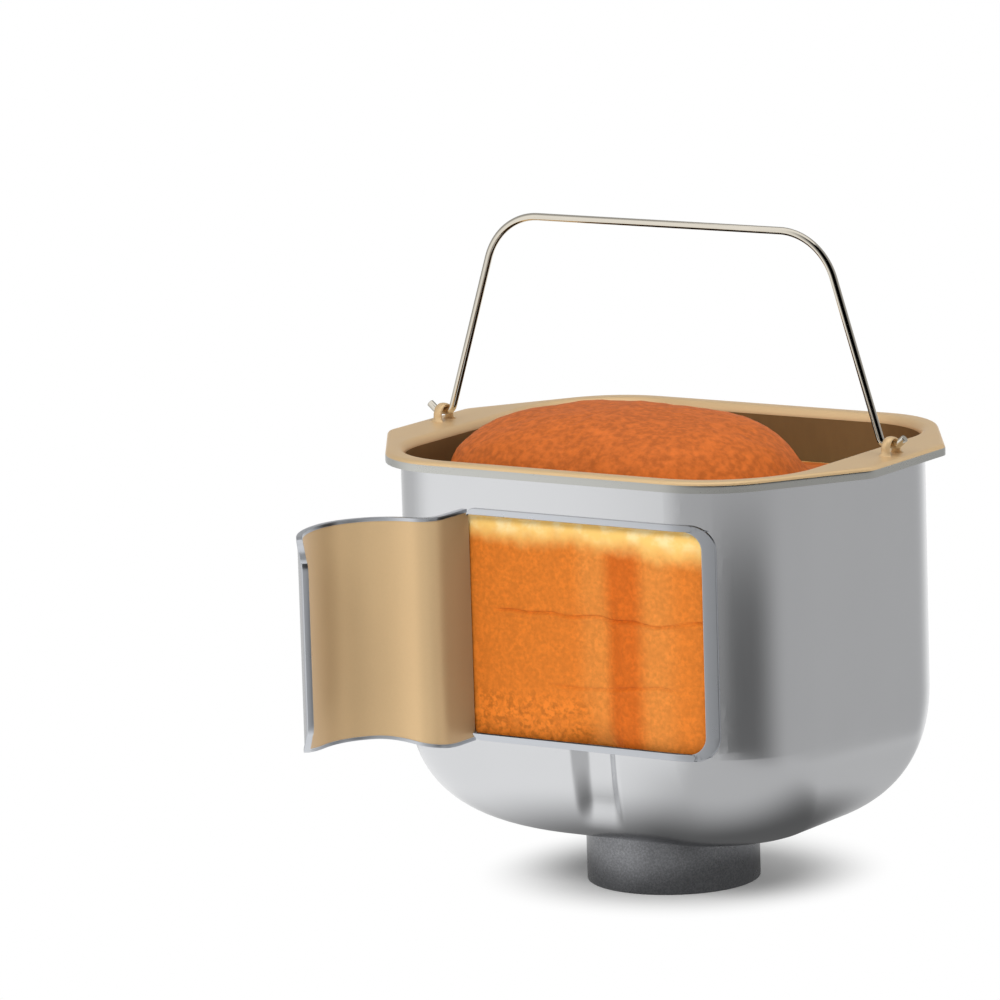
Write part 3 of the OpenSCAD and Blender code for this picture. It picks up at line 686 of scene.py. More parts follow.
class PAN_OT_rim(bpy.types.Operator):
    """Rolls the wall out into the coated flange, with its turned-down edge"""

    bl_idname = "pan.rim"
    bl_label = "Rim"

    def execute(self, context):
        sizes = context.scene.pan_sizes
        steps = (8, (10, 30, 10, 16))
        outer = outline(rim_arcs(sizes, 0.0), *steps)
        core_x, core_y = (half - sizes.corner_r for half in (sizes.pan_l / 2, sizes.pan_w / 2))
        inner_r = sizes.corner_r - sizes.wall
        ways = []
        for x, y in outer:
            core = Vector((max(-core_x, min(core_x, x)), max(-core_y, min(core_y, y))))
            ways.append((core, (Vector((x, y)) - core).normalized()))

        def inner_ring(out, z):
            return [(*(core + way * (inner_r + out)), z) for core, way in ways]

        def outer_ring(inset, z):
            return [(x, y, z) for x, y in outline(rim_arcs(sizes, inset), *steps)]

        top, roll, edge = sizes.rim_top, sizes.rim_roll, sizes.rim_edge
        rings = [outer_ring(0.0, RIM_LOW.z), outer_ring(0.0, (RIM_LOW.z + top - edge) / 2)]
        for t in np.radians(np.linspace(0, 90, 6)):
            rings.append(outer_ring(edge * (1 - math.cos(t)), top - edge + edge * math.sin(t)))
        outer_flat, inner_flat = outer_ring(edge, top), inner_ring(roll, top)
        for share in (0.25, 0.5, 0.75):
            rings.append([tuple(Vector(p).lerp(Vector(q), share))
                          for p, q in zip(outer_flat, inner_flat)])
        for t in np.radians(np.linspace(90, 0, 10)):
            rings.append(inner_ring(roll * (1 - math.cos(t)), top - roll + roll * math.sin(t)))
        rim = drawn_sheet("coated_rim", rings)
        add_modifier(rim, "SOLIDIFY", thickness=sizes.wall * RIM_THIN, offset=-1, use_even_offset=True)
        smooth(rim, 50)
        finish_piece(rim, [finish(context, "champagne_coating"), finish(context, "bare_skirt")],
                     "pan", "coated_rim", "pan_rim")
        for face in rim.data.polygons:
            core = Vector((max(-core_x, min(core_x, face.center.x)),
                           max(-core_y, min(core_y, face.center.y))))
            outside = (face.center.xy - core).length > sizes.corner_r + MM
            face.material_index = int(outside and face.center.z < top - edge * COAT_END)
        self.add_bridge(context, sizes, rim)
        return {"FINISHED"}

    def add_bridge(self, context, sizes, rim):
        """Models the bridge over the wire at the right-hand end, and copies it to the left."""
        lift = RIM_HIGH.z - sizes.rim_top
        outer_r = BRIDGE_SPAN / 2
        thick = BRIDGE_T
        centre = Vector((BRIDGE_X + BRIDGE_L / 2, 0, RIM_HIGH.z - outer_r))
        deselect_all()
        bpy.ops.mesh.primitive_torus_add(major_segments=40, minor_segments=14,
                                         major_radius=outer_r - thick / 2,
                                         minor_radius=thick / 2,
                                         rotation=(0, math.pi / 2, 0))
        bridge = named("bail_bridge_right")
        apply_place(bridge)
        edit_mode()
        bpy.ops.mesh.select_all(action="SELECT")
        bpy.ops.transform.resize(value=(BRIDGE_L / thick, 1, 1))
        bpy.ops.transform.translate(value=centre)
        bpy.ops.mesh.bisect(plane_co=centre, plane_no=(0, 0, 1), clear_inner=True)
        foot = lift - outer_r
        for side in (-1, 1):
            for drop, flare in ((foot * 0.55, 1.05), (foot * 0.45, 1.45), (0.5 * MM, 1.2)):
                low = min(v.co.z for v in bmesh.from_edit_mesh(bridge.data).verts
                          if v.co.y * side > 0)
                select(bridge, "EDGE", lambda e: e.is_boundary and middle(e).y * side > 0
                       and middle(e).z < low + thick / 20)
                bpy.ops.mesh.extrude_region_move(
                    TRANSFORM_OT_translate={"value": (0, side * thick * (flare - 1), -drop)})
                bpy.ops.transform.resize(value=(flare, flare, 1),
                                         center_override=(centre.x, side * outer_r, 0))
        object_mode()
        smooth(bridge, 60)
        finish_piece(bridge, [finish(context, "champagne_coating")], "pan", "coated_rim")
        left = bridge.copy()
        left.data = bridge.data.copy()
        left.name = left.data.name = "bail_bridge_left"
        left.data.transform(Matrix.Rotation(math.pi, 4, "Z"))
        context.scene.collection.objects.link(left)


class PAN_OT_window_edging(bpy.types.Operator):
    """Frames the window with its bright edging, which follows the wall round the corner"""

    bl_idname = "pan.window_edging"
    bl_label = "Window Edging"

    def execute(self, context):
        sizes = context.scene.pan_sizes
        half_w, half_h = sizes.window_w / 2, sizes.window_h / 2
        edging = blank("window_edging", sizes.window_w, sizes.window_h, sizes.window_r,
                       ((1, 1), (1, -1)))
        edit_mode()
        select(edging, "VERT", lambda v: v.co.x < MM - half_w)
        bpy.ops.mesh.bevel(offset=sizes.hinge_r, segments=6, affect="VERTICES")
        bpy.ops.mesh.select_all(action="SELECT")
        bpy.ops.mesh.inset(thickness=sizes.trim_w)
        bpy.ops.mesh.delete(type="FACE")
        inner_r = sizes.window_r - sizes.trim_w
        select(edging, "VERT", lambda v: v.co.x > half_w - sizes.window_r - MM / 100 and math.hypot(
            v.co.x - half_w + sizes.window_r, max(0, abs(v.co.z) - half_h + sizes.window_r))
            < inner_r + MM / 100)
        bpy.ops.transform.translate(value=(-EDGING_MORE, 0, 0))
        for z in (-1, 1):
            bpy.ops.mesh.select_all(action="SELECT")
            bpy.ops.mesh.bisect(plane_co=(0, 0, z * (half_h - sizes.trim_w)),
                                plane_no=(0, 0, 1))
        select(edging, "FACE", lambda f: middle(f).x < sizes.hinge_r - half_w
               and abs(middle(f).z) < half_h - sizes.trim_w)
        bpy.ops.mesh.delete(type="FACE")
        object_mode()
        add_modifier(edging, "SOLIDIFY", thickness=sizes.trim_proud + sizes.wall, offset=-1)
        add_modifier(edging, "BEVEL", width=EDGING_ROUND, segments=4, limit_method="ANGLE",
                     angle_limit=math.radians(50))
        slice_upright(edging, np.arange(-half_w, half_w, EDGING_STEP)[1:])
        for vertex in edging.data.vertices:
            x = vertex.co.x + sizes.window_x
            vertex.co = (x, wall_depth(sizes, x) - sizes.trim_proud + vertex.co.y,
                         vertex.co.z + sizes.window_z)
        smooth(edging, 50)
        finish_piece(edging, [finish(context, "bright_edging")], "pan", "bright_edging",
                     "window_trim")
        return {"FINISHED"}


class FlapPath:
    """Line of the flap seen from above: one straight, two bends and a curl."""

    def __init__(self, sizes):
        self.bends = ((-FLAP_TURN, FLAP_BEND_1), (FLAP_TURN, FLAP_BEND_2), (FLAP_CURL, FLAP_BEND_3))
        self.start = Vector((sizes.window_x - sizes.window_w / 2 - sizes.wall / 2,
                             -sizes.pan_w / 2))
        self.start.x += FLAP_IN
        self.length = FLAP_ROOT + sum(abs(math.radians(t)) * r for t, r in self.bends)

    def point(self, s):
        """Point reached after a distance s from the wall."""
        heading = -math.pi / 2
        run = min(s, FLAP_ROOT)
        here = self.start + Vector((0, -run))
        left = s - run
        for turn, radius in self.bends:
            run = min(left, abs(math.radians(turn)) * radius)
            side = math.copysign(radius, turn)
            after = heading + run / side
            here = here + side * Vector((math.sin(after) - math.sin(heading),
                                         math.cos(heading) - math.cos(after)))
            heading = after
            left -= run
        return here


class PAN_OT_flap(bpy.types.Operator):
    """Bends the window's cut-out into the open flap and binds its three free sides"""

    bl_idname = "pan.flap"
    bl_label = "Window Flap"

    def execute(self, context):
        sizes = context.scene.pan_sizes
        path = FlapPath(sizes)
        spare = 2 * sizes.trim_w
        height = sizes.window_h + 2 * FLAP_LAP
        whole = blank("window_flap_sheet", path.length + spare, height, FLAP_CORNER,
                      ((1, 1), (1, -1)))
        edit_mode()
        bpy.ops.mesh.select_all(action="SELECT")
        bpy.ops.mesh.inset(thickness=FLAP_BAND)
        select(whole, "VERT", lambda v: path.length / 2 - FLAP_CORNER < v.co.x
               < (path.length + spare) / 2 - FLAP_BAND / 2
               and abs(v.co.z) < height / 2 - FLAP_BAND / 2)
        bpy.ops.transform.translate(value=(FLAP_BAND - sizes.trim_w, 0, 0))
        bpy.ops.mesh.select_all(action="SELECT")
        root = (spare - path.length) / 2
        bpy.ops.mesh.bisect(plane_co=(root - sizes.wall, 0, 0), plane_no=(1, 0, 0),
                            clear_inner=True)
        object_mode()
        edging = whole.copy()
        edging.data = whole.data.copy()
        edging.name = edging.data.name = "window_flap_edging"
        context.scene.collection.objects.link(edging)
        inner = max(whole.data.polygons, key=lambda face: face.area).index
        for obj, keep_inner in ((whole, True), (edging, False)):
            deselect_all()
            context.view_layer.objects.active = obj
            edit_mode()
            select(obj, "FACE", lambda f: (f.index == inner) != keep_inner)
            bpy.ops.mesh.delete(type="FACE")
            object_mode()
            slice_upright(obj, root + np.arange(0, path.length, FLAP_STEP)[1:])
            for vertex in obj.data.vertices:
                run = vertex.co.x - root
                x, y = path.point(run)
                taper = (smooth_step(run, *FLAP_RISE_RUN) * FLAP_RISE
                         + smooth_step(run, FLAP_LIFT_FROM, path.length) * FLAP_LIFT)
                share = 0.5 - vertex.co.z / height
                z = vertex.co.z + sizes.window_z + taper * share - 2 * FLAP_LAP * (1 - share)
                vertex.co = (x, y, z)
        two_sided(whole)
        add_modifier(whole, "SOLIDIFY", thickness=sizes.wall, offset=0, material_offset=1)
        add_modifier(edging, "SOLIDIFY", thickness=sizes.wall + sizes.trim_proud, offset=0)
        add_modifier(edging, "BEVEL", width=FLAP_EDGING_ROUND, segments=4, limit_method="ANGLE",
                     angle_limit=math.radians(50))
        smooth(whole, 50)
        smooth(edging, 60)
        finish_piece(whole, [finish(context, "drawn_aluminium"),
                             finish(context, "champagne_coating")],
                     "pan", "nonstick_coating", "window_flap")
        finish_piece(edging, [finish(context, "bright_edging")], "pan", "bright_edging",
                     "flap_trim")
        whole.visible_glossy = edging.visible_glossy = False   # kept out of the wall behind
        return {"FINISHED"}


class PAN_OT_base(bpy.types.Operator):
    """Casts the collar with its bayonet lugs and finishes what holds it"""

    bl_idname = "pan.base"
    bl_label = "Base Collar"

    def execute(self, context):
        radius, height = COLLAR_HIGH.x, COLLAR_HIGH.z
        deselect_all()
        bpy.ops.mesh.primitive_cylinder_add(vertices=120, radius=radius, depth=height,
                                            location=(0, 0, height / 2))
        collar = named("cast_collar")
        apply_place(collar)
        inner = radius - COLLAR_WALL
        edit_mode()
        select(collar, "FACE", lambda f: f.normal.z < -0.5)
        bpy.ops.mesh.inset(thickness=COLLAR_WALL)
        bpy.ops.mesh.extrude_region_move(
            TRANSFORM_OT_translate={"value": (0, 0, height - PLATE_T)})
        bpy.ops.mesh.inset(thickness=inner - HOLE_R)
        bpy.ops.mesh.delete(type="FACE")
        select(collar, "FACE", lambda f: f.normal.z > 0.5 and len(f.verts) > 4)
        bpy.ops.mesh.inset(thickness=radius - HOLE_R)
        bpy.ops.mesh.delete(type="FACE")
        select(collar, "EDGE", lambda e: e.is_boundary)
        bpy.ops.mesh.bridge_edge_loops()
        for z in (LUG_Z, LUG_Z + LUG_H):
            select(collar, "FACE", lambda f: abs(math.hypot(*middle(f).xy) - inner) < MM / 2
                   and abs(f.normal.z) < 0.5)
            bpy.ops.mesh.bisect(plane_co=(0, 0, z), plane_no=(0, 0, 1))
        select(collar, "FACE", lambda f: abs(math.hypot(*middle(f).xy) - inner) < MM / 2
               and LUG_Z < middle(f).z < LUG_Z + LUG_H
               and abs(middle(f).y) < inner * math.sin(math.radians(LUG_ANGLE / 2)))
        bpy.ops.mesh.extrude_region_shrink_fatten(
            TRANSFORM_OT_shrink_fatten={"value": LUG_IN})
        bpy.ops.mesh.select_all(action="SELECT")
        bpy.ops.mesh.normals_make_consistent(inside=False)
        object_mode()
        add_modifier(collar, "BEVEL", width=COLLAR_ROUND, segments=3, limit_method="ANGLE",
                     angle_limit=math.radians(50))
        smooth(collar, 45)
        finish_piece(collar, [finish(context, "cast_collar")], "pan", "cast_base", "base_collar")
        dress(finish(context, "plated_steel"), "collar_rivets", "housing_washer", "housing_nut")
        dress(finish(context, "red_silicone"), "housing_gasket", "shaft_seal")
        dress(finish(context, "turned_aluminium"), "bearing_housing")
        dress(finish(context, "sintered_bronze"), "lower_bush", "upper_bush")
        dress(finish(context, "oiled_felt"), "oil_felt")
        dress(finish(context, "turned_stainless"), "seal_cap")
        dress(finish(context, "white_nylon"), "upper_thrust_washer", "lower_thrust_washer")
        return {"FINISHED"}


class PAN_OT_drive(bpy.types.Operator):
    """Finishes the shaft, its coupling and the kneading paddle"""

    bl_idname = "pan.drive"
    bl_label = "Drive"

    def execute(self, context):
        dress(finish(context, "turned_stainless"), "drive_shaft")
        dress(finish(context, "spring_steel"), "shaft_circlip", "coupling_pin")
        dress(finish(context, "sintered_steel"), "drive_coupling")
        dress(finish(context, "dark_coating"), "kneading_paddle")
        return {"FINISHED"}


class PAN_OT_bail(bpy.types.Operator):
    """Bends the bail from one length of round wire"""

    bl_idname = "pan.bail"
    bl_label = "Bail"

    def execute(self, context):
        sizes = context.scene.pan_sizes
        pivot_z = BAIL_PIVOT_Z
        top = BAIL_HIGH.z - sizes.wire_d / 2
        tip = Vector((TIP_X + TIP_L * math.cos(TIP_TURN), pivot_z + TIP_L * math.sin(TIP_TURN)))
        right = [tip, Vector((TIP_X, pivot_z)), Vector((PIVOT_X, pivot_z)),
                 Vector((BAIL_TOP_HALF, top))]
        corners = right + [Vector((-p.x, p.y)) for p in reversed(right)]
        radii = (TIP_BEND, LEG_BEND, BAIL_R, BAIL_R, LEG_BEND, TIP_BEND)
        way = (corners[1] - corners[0]).normalized()
        deselect_all()
        bpy.ops.mesh.primitive_circle_add(
            vertices=20, radius=sizes.wire_d / 2, fill_type="NGON",
            location=(tip.x, 0, tip.y),
            rotation=(0, math.atan2(way.x, way.y), 0))
        wire = named("bail_wire")
        apply_place(wire)
        edit_mode()
        bpy.ops.mesh.select_mode(type="FACE")
        bpy.ops.mesh.select_all(action="SELECT")
        here = corners[0]
        for k, radius in enumerate(radii):
            corner = corners[k + 1]
            way = (corner - here).normalized()
            onward = (corners[k + 2] - corner).normalized()
            turn = math.atan2(way.x * onward.y - way.y * onward.x, way.dot(onward))
            reach = radius * math.tan(abs(turn) / 2)
            start = corner - way * reach
            step = start - here
            bpy.ops.mesh.extrude_region_move(
                TRANSFORM_OT_translate={"value": (step.x, 0, step.y)})
            side = math.copysign(radius, turn)
            centre = start + side * Vector((-way.y, way.x))
            bpy.ops.mesh.spin(steps=max(6, round(abs(turn) * radius / WIRE_STEP)), angle=turn,
                              center=(centre.x, 0, centre.y), axis=(0, 1, 0))
            here = corner + onward * reach
        step = corners[-1] - here
        bpy.ops.mesh.extrude_region_move(TRANSFORM_OT_translate={"value": (step.x, 0, step.y)})
        bpy.ops.mesh.select_all(action="SELECT")
        bpy.ops.mesh.normals_make_consistent(inside=False)
        object_mode()
        add_modifier(wire, "BEVEL", width=WIRE_ROUND, segments=3, limit_method="ANGLE",
                     angle_limit=math.radians(60))
        smooth(wire, 50)
        finish_piece(wire, [finish(context, "polished_wire")], "bail", "bail_wire", "bail_handle")
        return {"FINISHED"}


class PAN_OT_loaf(bpy.types.Operator):
    """Bakes the loaf: it fills the pan and rises over the rim in one crown"""

    bl_idname = "pan.loaf"
    bl_label = "Loaf"

    def execute(self, context):
        sizes = context.scene.pan_sizes
        inset = sizes.wall + sizes.crust_gap
        extra = GROOVE_EXTRA
        rings = []
        floor = curve_ring(sizes, 1.0, inset, LOAF_STEPS, extra)
        for share in (0.02, 0.5):
            rings.append([(x * share, y * share, z) for x, y, z in floor])
        for i in range(LOAF_CURVE_ROWS, -1, -1):
            rings.append(curve_ring(sizes, math.sin(math.pi / 2 * i / LOAF_CURVE_ROWS), inset,
                                    LOAF_STEPS, extra))
        shoulder = sizes.rim_top - SHOULDER_DROP
        levels = list(np.arange(sizes.floor_z + sizes.curve_h, shoulder - SHOULDER_START,
                                LOAF_ROW)[1:])
        for height, *_ in CREASES:
            levels = [z for z in levels if abs(z - height) > CREASE_REACH]
            levels += list(np.arange(height - CREASE_REACH, height + CREASE_REACH, CREASE_ROW))
        for z in sorted(levels):
            rings.append(wall_ring(sizes, z, inset, LOAF_STEPS, extra))
        for t in np.radians(np.linspace(0, 78, 6)):
            rings.append(wall_ring(sizes, shoulder - SHOULDER_START + SHOULDER_R * math.sin(t),
                                   inset + SHOULDER_R * (1 - math.cos(t)), LOAF_STEPS))
        for t in np.linspace(0, 1, CROWN_ROWS) ** CROWN_SPREAD:
            rings.append(self.crown_ring(sizes, inset, shoulder, min(t, CROWN_END)))
        loaf = drawn_sheet("bread_loaf", rings)
        edit_mode()
        select(loaf, "EDGE", lambda e: e.is_boundary)
        bpy.ops.mesh.edge_face_add()
        object_mode()
        self.roughen(loaf, sizes)
        smooth(loaf, 80)
        finish_piece(loaf, [finish(context, "bread_crust")], "loaf", "bread_crust", "loaf")
        loaf.visible_glossy = False   # the metal mirrors the studio and not the crust
        return {"FINISHED"}

    def crown_ring(self, sizes, inset, shoulder, t):
        """Ring of the crown at a share of its height; its foot flares out to the shoulder."""
        keep = (1 - t ** CROWN_POWER) ** (1 / CROWN_POWER)
        foot = (1 - t) ** FOOT_POWER
        lip = inset + SHOULDER_R
        crown_a = (sizes.pan_l - sizes.crown_left - sizes.crown_right) / 2
        crown_b = (sizes.pan_w - sizes.crown_front - sizes.crown_back) / 2
        a = crown_a * keep * (1 - foot) + (sizes.pan_l / 2 - lip) * foot
        b = crown_b * keep * (1 - foot) + (sizes.pan_w / 2 - lip) * foot
        r = b * CROWN_ROUND * (1 - foot) + (sizes.corner_r - lip) * foot
        ring = form_ring(sizes, a, b, r, shoulder + sizes.crown_h * t, LOAF_STEPS, inward=None)
        shift_x = (sizes.crown_left - sizes.crown_right) / 2 * (1 - foot)
        shift_y = (sizes.crown_front - sizes.crown_back) / 2 * (1 - foot)
        return [(x + shift_x, y + shift_y, z) for x, y, z in ring]

    def roughen(self, loaf, sizes):
        """Gives the crust its dimples, its two creases and the bubbled patch at the window."""
        loaf.data.update()
        normals = [v.normal.copy() for v in loaf.data.vertices]
        for vertex, normal in zip(loaf.data.vertices, normals):
            p = vertex.co.copy()
            crown = smooth_step(p.z, 0.146, 0.152)
            broad = noise.noise(p / BROAD_GRAIN) * (0.25 + 1.1 * crown)
            fine = noise.noise(p / FINE_GRAIN) * (0.10 + 0.20 * crown)
            depth = -0.35 + broad * 0.6 + fine
            if p.y < -sizes.pan_w / 2 + 12 * MM:
                for crease in CREASES:
                    depth += self.crease(p, *crease)
                patch = smooth_step(-p.x, -0.016, 0.0) * (1 - smooth_step(p.z, 0.074, 0.084))
                depth -= patch * max(0.0, noise.noise(p / (3.0 * MM))) * 1.4
            vertex.co = p + normal * (min(depth, SWELL_LIMIT) * MM)

    def crease(self, p, height, start, end, depth):
        """Height in millimetres of a crease along the front: a thin fold with a lip below it."""
        wander = noise.noise((p.x / (16 * MM), height * 100, 0)) * 3.0 * MM
        off = (p.z - height - wander) / MM
        share = smooth_step(p.x, start, start + 8 * MM) * (1 - smooth_step(p.x, end - 8 * MM, end))
        fold = 0.85 * math.exp(-(off / 0.5) ** 2)
        lip = math.exp(-((off + 1.1) / 0.9) ** 2)
        return depth * share * (0.35 * lip - fold)


class PAN_OT_stage(bpy.types.Operator):
    """Sets the pale floor, the soft studio light and the camera"""

    bl_idname = "pan.stage"
    bl_label = "Studio Stage"

    def execute(self, context):
        scene = context.scene
        self.add_floor(context)
        self.add_surround(context)
        self.light_world(scene)
        for name, place, size, power in LAMPS:
            deselect_all()
            bpy.ops.object.light_add(type="AREA", location=place)
            lamp = bpy.context.active_object
            lamp.name = name
            lamp.data.shape = "DISK"
            lamp.data.size = size
            lamp.data.energy = power
            aim = Vector(LAMP_AIM) - Vector(place)
            lamp.rotation_euler = aim.to_track_quat("-Z", "Y").to_euler()
            lamp.visible_glossy = False
        self.add_camera(scene)
        scene.view_settings.view_transform = "Standard"
        return {"FINISHED"}

    def add_floor(self, context):
        """Pale matt floor: it keeps the shadow at the collar and runs into the white beyond."""
        deselect_all()
        bpy.ops.mesh.primitive_plane_add(size=FLOOR_SIZE)
        floor = named("studio_floor")
        material = bpy.data.materials.new("studio_floor")
        material.use_nodes = True
        tree = material.node_tree
        tree.nodes.clear()
        matt = add_node(tree, "ShaderNodeBsdfDiffuse",
                        {"Color": list(context.scene.pan_colours.floor)})
        glow = add_node(tree, "ShaderNodeEmission", {"Color": (1, 1, 1, 1), "Strength": 1.0})
        rays = add_node(tree, "ShaderNodeLightPath")
        coords = add_node(tree, "ShaderNodeTexCoord").outputs["Object"]
        apart = add_node(tree, "ShaderNodeVectorMath", {0: coords, 1: SHADOW_MIDDLE},
                         operation="DISTANCE")
        far = add_node(tree, "ShaderNodeMapRange",
                       {"Value": apart.outputs["Value"], "From Min": SHADOW_REACH[0],
                        "From Max": SHADOW_REACH[1]}, interpolation_type="SMOOTHSTEP")
        seen = add_node(tree, "ShaderNodeMath",
                        {0: far.outputs[0], 1: rays.outputs["Is Camera Ray"]},
                        operation="MULTIPLY")
        both = add_node(tree, "ShaderNodeMixShader",
                        {0: seen.outputs[0], 1: matt.outputs[0], 2: glow.outputs[0]})
        # in the metal the floor shows the tent's light levels and the painted shadow under the pan
        mirrored = add_node(tree, "ShaderNodeEmission",
                            {"Color": self.reflected_light(tree, coords), "Strength": 1.0})
        whole = add_node(tree, "ShaderNodeMixShader",
                         {0: rays.outputs["Is Glossy Ray"], 1: both.outputs[0],
                          2: mirrored.outputs[0]})
        add_node(tree, "ShaderNodeOutputMaterial", {0: whole.outputs[0]})
        floor.data.materials.append(material)

    def add_surround(self, context):
        """Ring that carries the tent and its cards, seen in the metal only."""
        deselect_all()
        bpy.ops.mesh.primitive_cylinder_add(vertices=128, radius=SURROUND_R, depth=SURROUND_H,
                                            location=(0, 0, SURROUND_H / 2),
                                            end_fill_type="NOTHING")
        boards = named("reflector_boards")
        apply_place(boards)
        for ray in ("camera", "diffuse", "shadow", "transmission", "volume_scatter"):
            setattr(boards, "visible_" + ray, False)
        material = bpy.data.materials.new("reflector_boards")
        material.use_nodes = True
        tree = material.node_tree
        tree.nodes.clear()
        coords = add_node(tree, "ShaderNodeTexCoord").outputs["Object"]
        glow = add_node(tree, "ShaderNodeEmission",
                        {"Color": self.reflected_light(tree, coords), "Strength": 1.0})
        add_node(tree, "ShaderNodeOutputMaterial", {0: glow.outputs[0]})
        boards.data.materials.append(material)

    def reflected_light(self, tree, coords):
        """Light level that the metal sees at a point of the ring or of the floor inside it, with a
        painted shadow on the floor under the pan.
        """
        split = add_node(tree, "ShaderNodeSeparateXYZ", {0: coords})
        front = add_node(tree, "ShaderNodeMath", {0: split.outputs["Y"], 1: -1.0},
                         operation="MULTIPLY")
        bearing = add_node(tree, "ShaderNodeMath",
                           {0: split.outputs["X"], 1: front.outputs[0]}, operation="ARCTAN2")
        flat = add_node(tree, "ShaderNodeCombineXYZ",
                        {0: split.outputs["X"], 1: split.outputs["Y"]})
        radius = add_node(tree, "ShaderNodeVectorMath", {0: flat.outputs[0]}, operation="LENGTH")
        height = add_node(tree, "ShaderNodeMath",
                          {0: split.outputs["Z"], 1: radius.outputs["Value"]}, operation="ADD")
        level = TENT_LEVEL
        for bearings, heights, card_level in CARDS:
            across = self.band(tree, bearing.outputs[0], [math.radians(end) for end in bearings],
                               CARD_SIDE_FADE)
            upright = self.band(tree, height.outputs[0],
                                [SURROUND_R + end * MM for end in heights], CARD_TOP_FADE)
            card = add_node(tree, "ShaderNodeMath", {0: across, 1: upright},
                            operation="MULTIPLY")
            level = add_node(tree, "ShaderNodeMix", {0: card.outputs[0], 2: level, 3: card_level},
                             data_type="FLOAT").outputs[0]
        # painted shadow: the floor that the metal sees darkens towards a spot under the pan
        apart = add_node(tree, "ShaderNodeVectorMath", {0: coords, 1: PAINTED_SHADOW_MIDDLE},
                         operation="SUBTRACT")
        oval = add_node(tree, "ShaderNodeVectorMath", {0: apart.outputs[0], 1: PAINTED_SHADOW_SHAPE},
                        operation="MULTIPLY")
        shade = add_node(tree, "ShaderNodeVectorMath", {0: oval.outputs[0]}, operation="LENGTH")
        clear = add_node(tree, "ShaderNodeMapRange",
                         {"Value": shade.outputs["Value"], "From Min": PAINTED_SHADOW_REACH[0],
                          "From Max": PAINTED_SHADOW_REACH[1], "To Min": PAINTED_SHADOW_LEVEL},
                         interpolation_type="SMOOTHSTEP")
        return add_node(tree, "ShaderNodeVectorMath",
                        {0: level, 1: clear.outputs[0]}, operation="MULTIPLY").outputs[0]

    def band(self, tree, value, span, fade):
        """One where the value lies inside the span, and fading to nothing at both its ends."""
        low, high = span
        rise = add_node(tree, "ShaderNodeMapRange",
                        {"Value": value, "From Min": low - fade, "From Max": low + fade},
                        interpolation_type="SMOOTHSTEP")
        fall = add_node(tree, "ShaderNodeMapRange",
                        {"Value": value, "From Min": high - fade, "From Max": high + fade,
                         "To Min": 1.0, "To Max": 0.0},
                        interpolation_type="SMOOTHSTEP")
        return add_node(tree, "ShaderNodeMath", {0: rise.outputs[0], 1: fall.outputs[0]},
                        operation="MULTIPLY").outputs[0]

    def light_world(self, scene):
        """White behind the piece and in its reflections, and a softer white as fill light."""
        world = bpy.data.worlds.new("studio")
        scene.world = world
        world.use_nodes = True
        tree = world.node_tree
        tree.nodes.clear()
        rays = add_node(tree, "ShaderNodeLightPath")
        either = add_node(tree, "ShaderNodeMath",
                          {0: rays.outputs["Is Camera Ray"], 1: rays.outputs["Is Glossy Ray"]},
                          operation="MAXIMUM")
        seen = add_node(tree, "ShaderNodeMath",
                        {0: either.outputs[0], 1: rays.outputs["Is Transmission Ray"]},
                        operation="MAXIMUM")
        fill = add_node(tree, "ShaderNodeBackground", {"Strength": FILL_LEVEL})
        white = add_node(tree, "ShaderNodeBackground", {"Strength": 1.0})
        for node in (fill, white):
            node.inputs["Color"].default_value = (1, 1, 1, 1)
        both = add_node(tree, "ShaderNodeMixShader",
                        {0: seen.outputs[0], 1: fill.outputs[0], 2: white.outputs[0]})
        add_node(tree, "ShaderNodeOutputWorld", {0: both.outputs[0]})

    def add_camera(self, scene):
        """Long lens from the front right, a little above the rim and leaning slightly."""
        azimuth, elevation, lean = (math.radians(v) for v in CAMERA_TURN)
        back = Vector((math.sin(azimuth) * math.cos(elevation),
                       -math.cos(azimuth) * math.cos(elevation), math.sin(elevation)))
        right = Vector((math.cos(azimuth), math.sin(azimuth), 0))
        up = back.cross(right)
        focal = CAMERA_LENS / SENSOR * IMAGE_SIZE
        off_x, off_y = (IMAGE_SIZE / 2 - p for p in TARGET_PIXEL)
        across = off_x * math.cos(lean) - off_y * math.sin(lean)
        down = off_x * math.sin(lean) + off_y * math.cos(lean)
        forward = (-back + right * across / focal - up * down / focal).normalized()
        top = up * math.cos(lean) + right * math.sin(lean)
        side = forward.cross(top).normalized()
        top = side.cross(forward)
        deselect_all()
        bpy.ops.object.camera_add()
        camera = bpy.context.active_object
        camera.name = "studio_camera"
        camera.data.lens = CAMERA_LENS
        camera.data.sensor_width = SENSOR
        turn = Matrix((side, top, -forward)).transposed().to_4x4()
        place = Vector((0, 0, TARGET_Z)) + back * CAMERA_DISTANCE
        camera.matrix_world = Matrix.Translation(place) @ turn
        camera.data.clip_end = 100
        scene.camera = camera


# ---- values that the frame and the stage share ----

PIVOT_X = SHELL_HIGH.x + 8 * MM
CURVE_ROWS = 28
WALL_ROWS = 22
EDGING_MORE = 2.3 * MM
HOUSING_HOLE = 20 * MM
HOUSING_GAP = 0.05 * MM
RIM_END_R = 8 * MM
RIM_END_IN = 50 * MM
RIM_CORNER_LESS = 3.5 * MM
RIM_CORNER_OUT = 4.5 * MM
BRIDGE_X = PIVOT_X + 2 * MM
BRIDGE_L = 3.6 * MM
BRIDGE_SPAN = 9.0 * MM
COLLAR_WALL = 4 * MM
PLATE_T = 3 * MM
LUG_Z = 1 * MM
LUG_H = 4 * MM
LUG_IN = 3 * MM
LUG_ANGLE = 30
FLAP_IN = 0.15 * MM
FLAP_ROOT = 15 * MM
FLAP_BEND_1 = 8 * MM
FLAP_BEND_2 = 25 * MM
FLAP_BEND_3 = 40 * MM
FLAP_TURN = 86
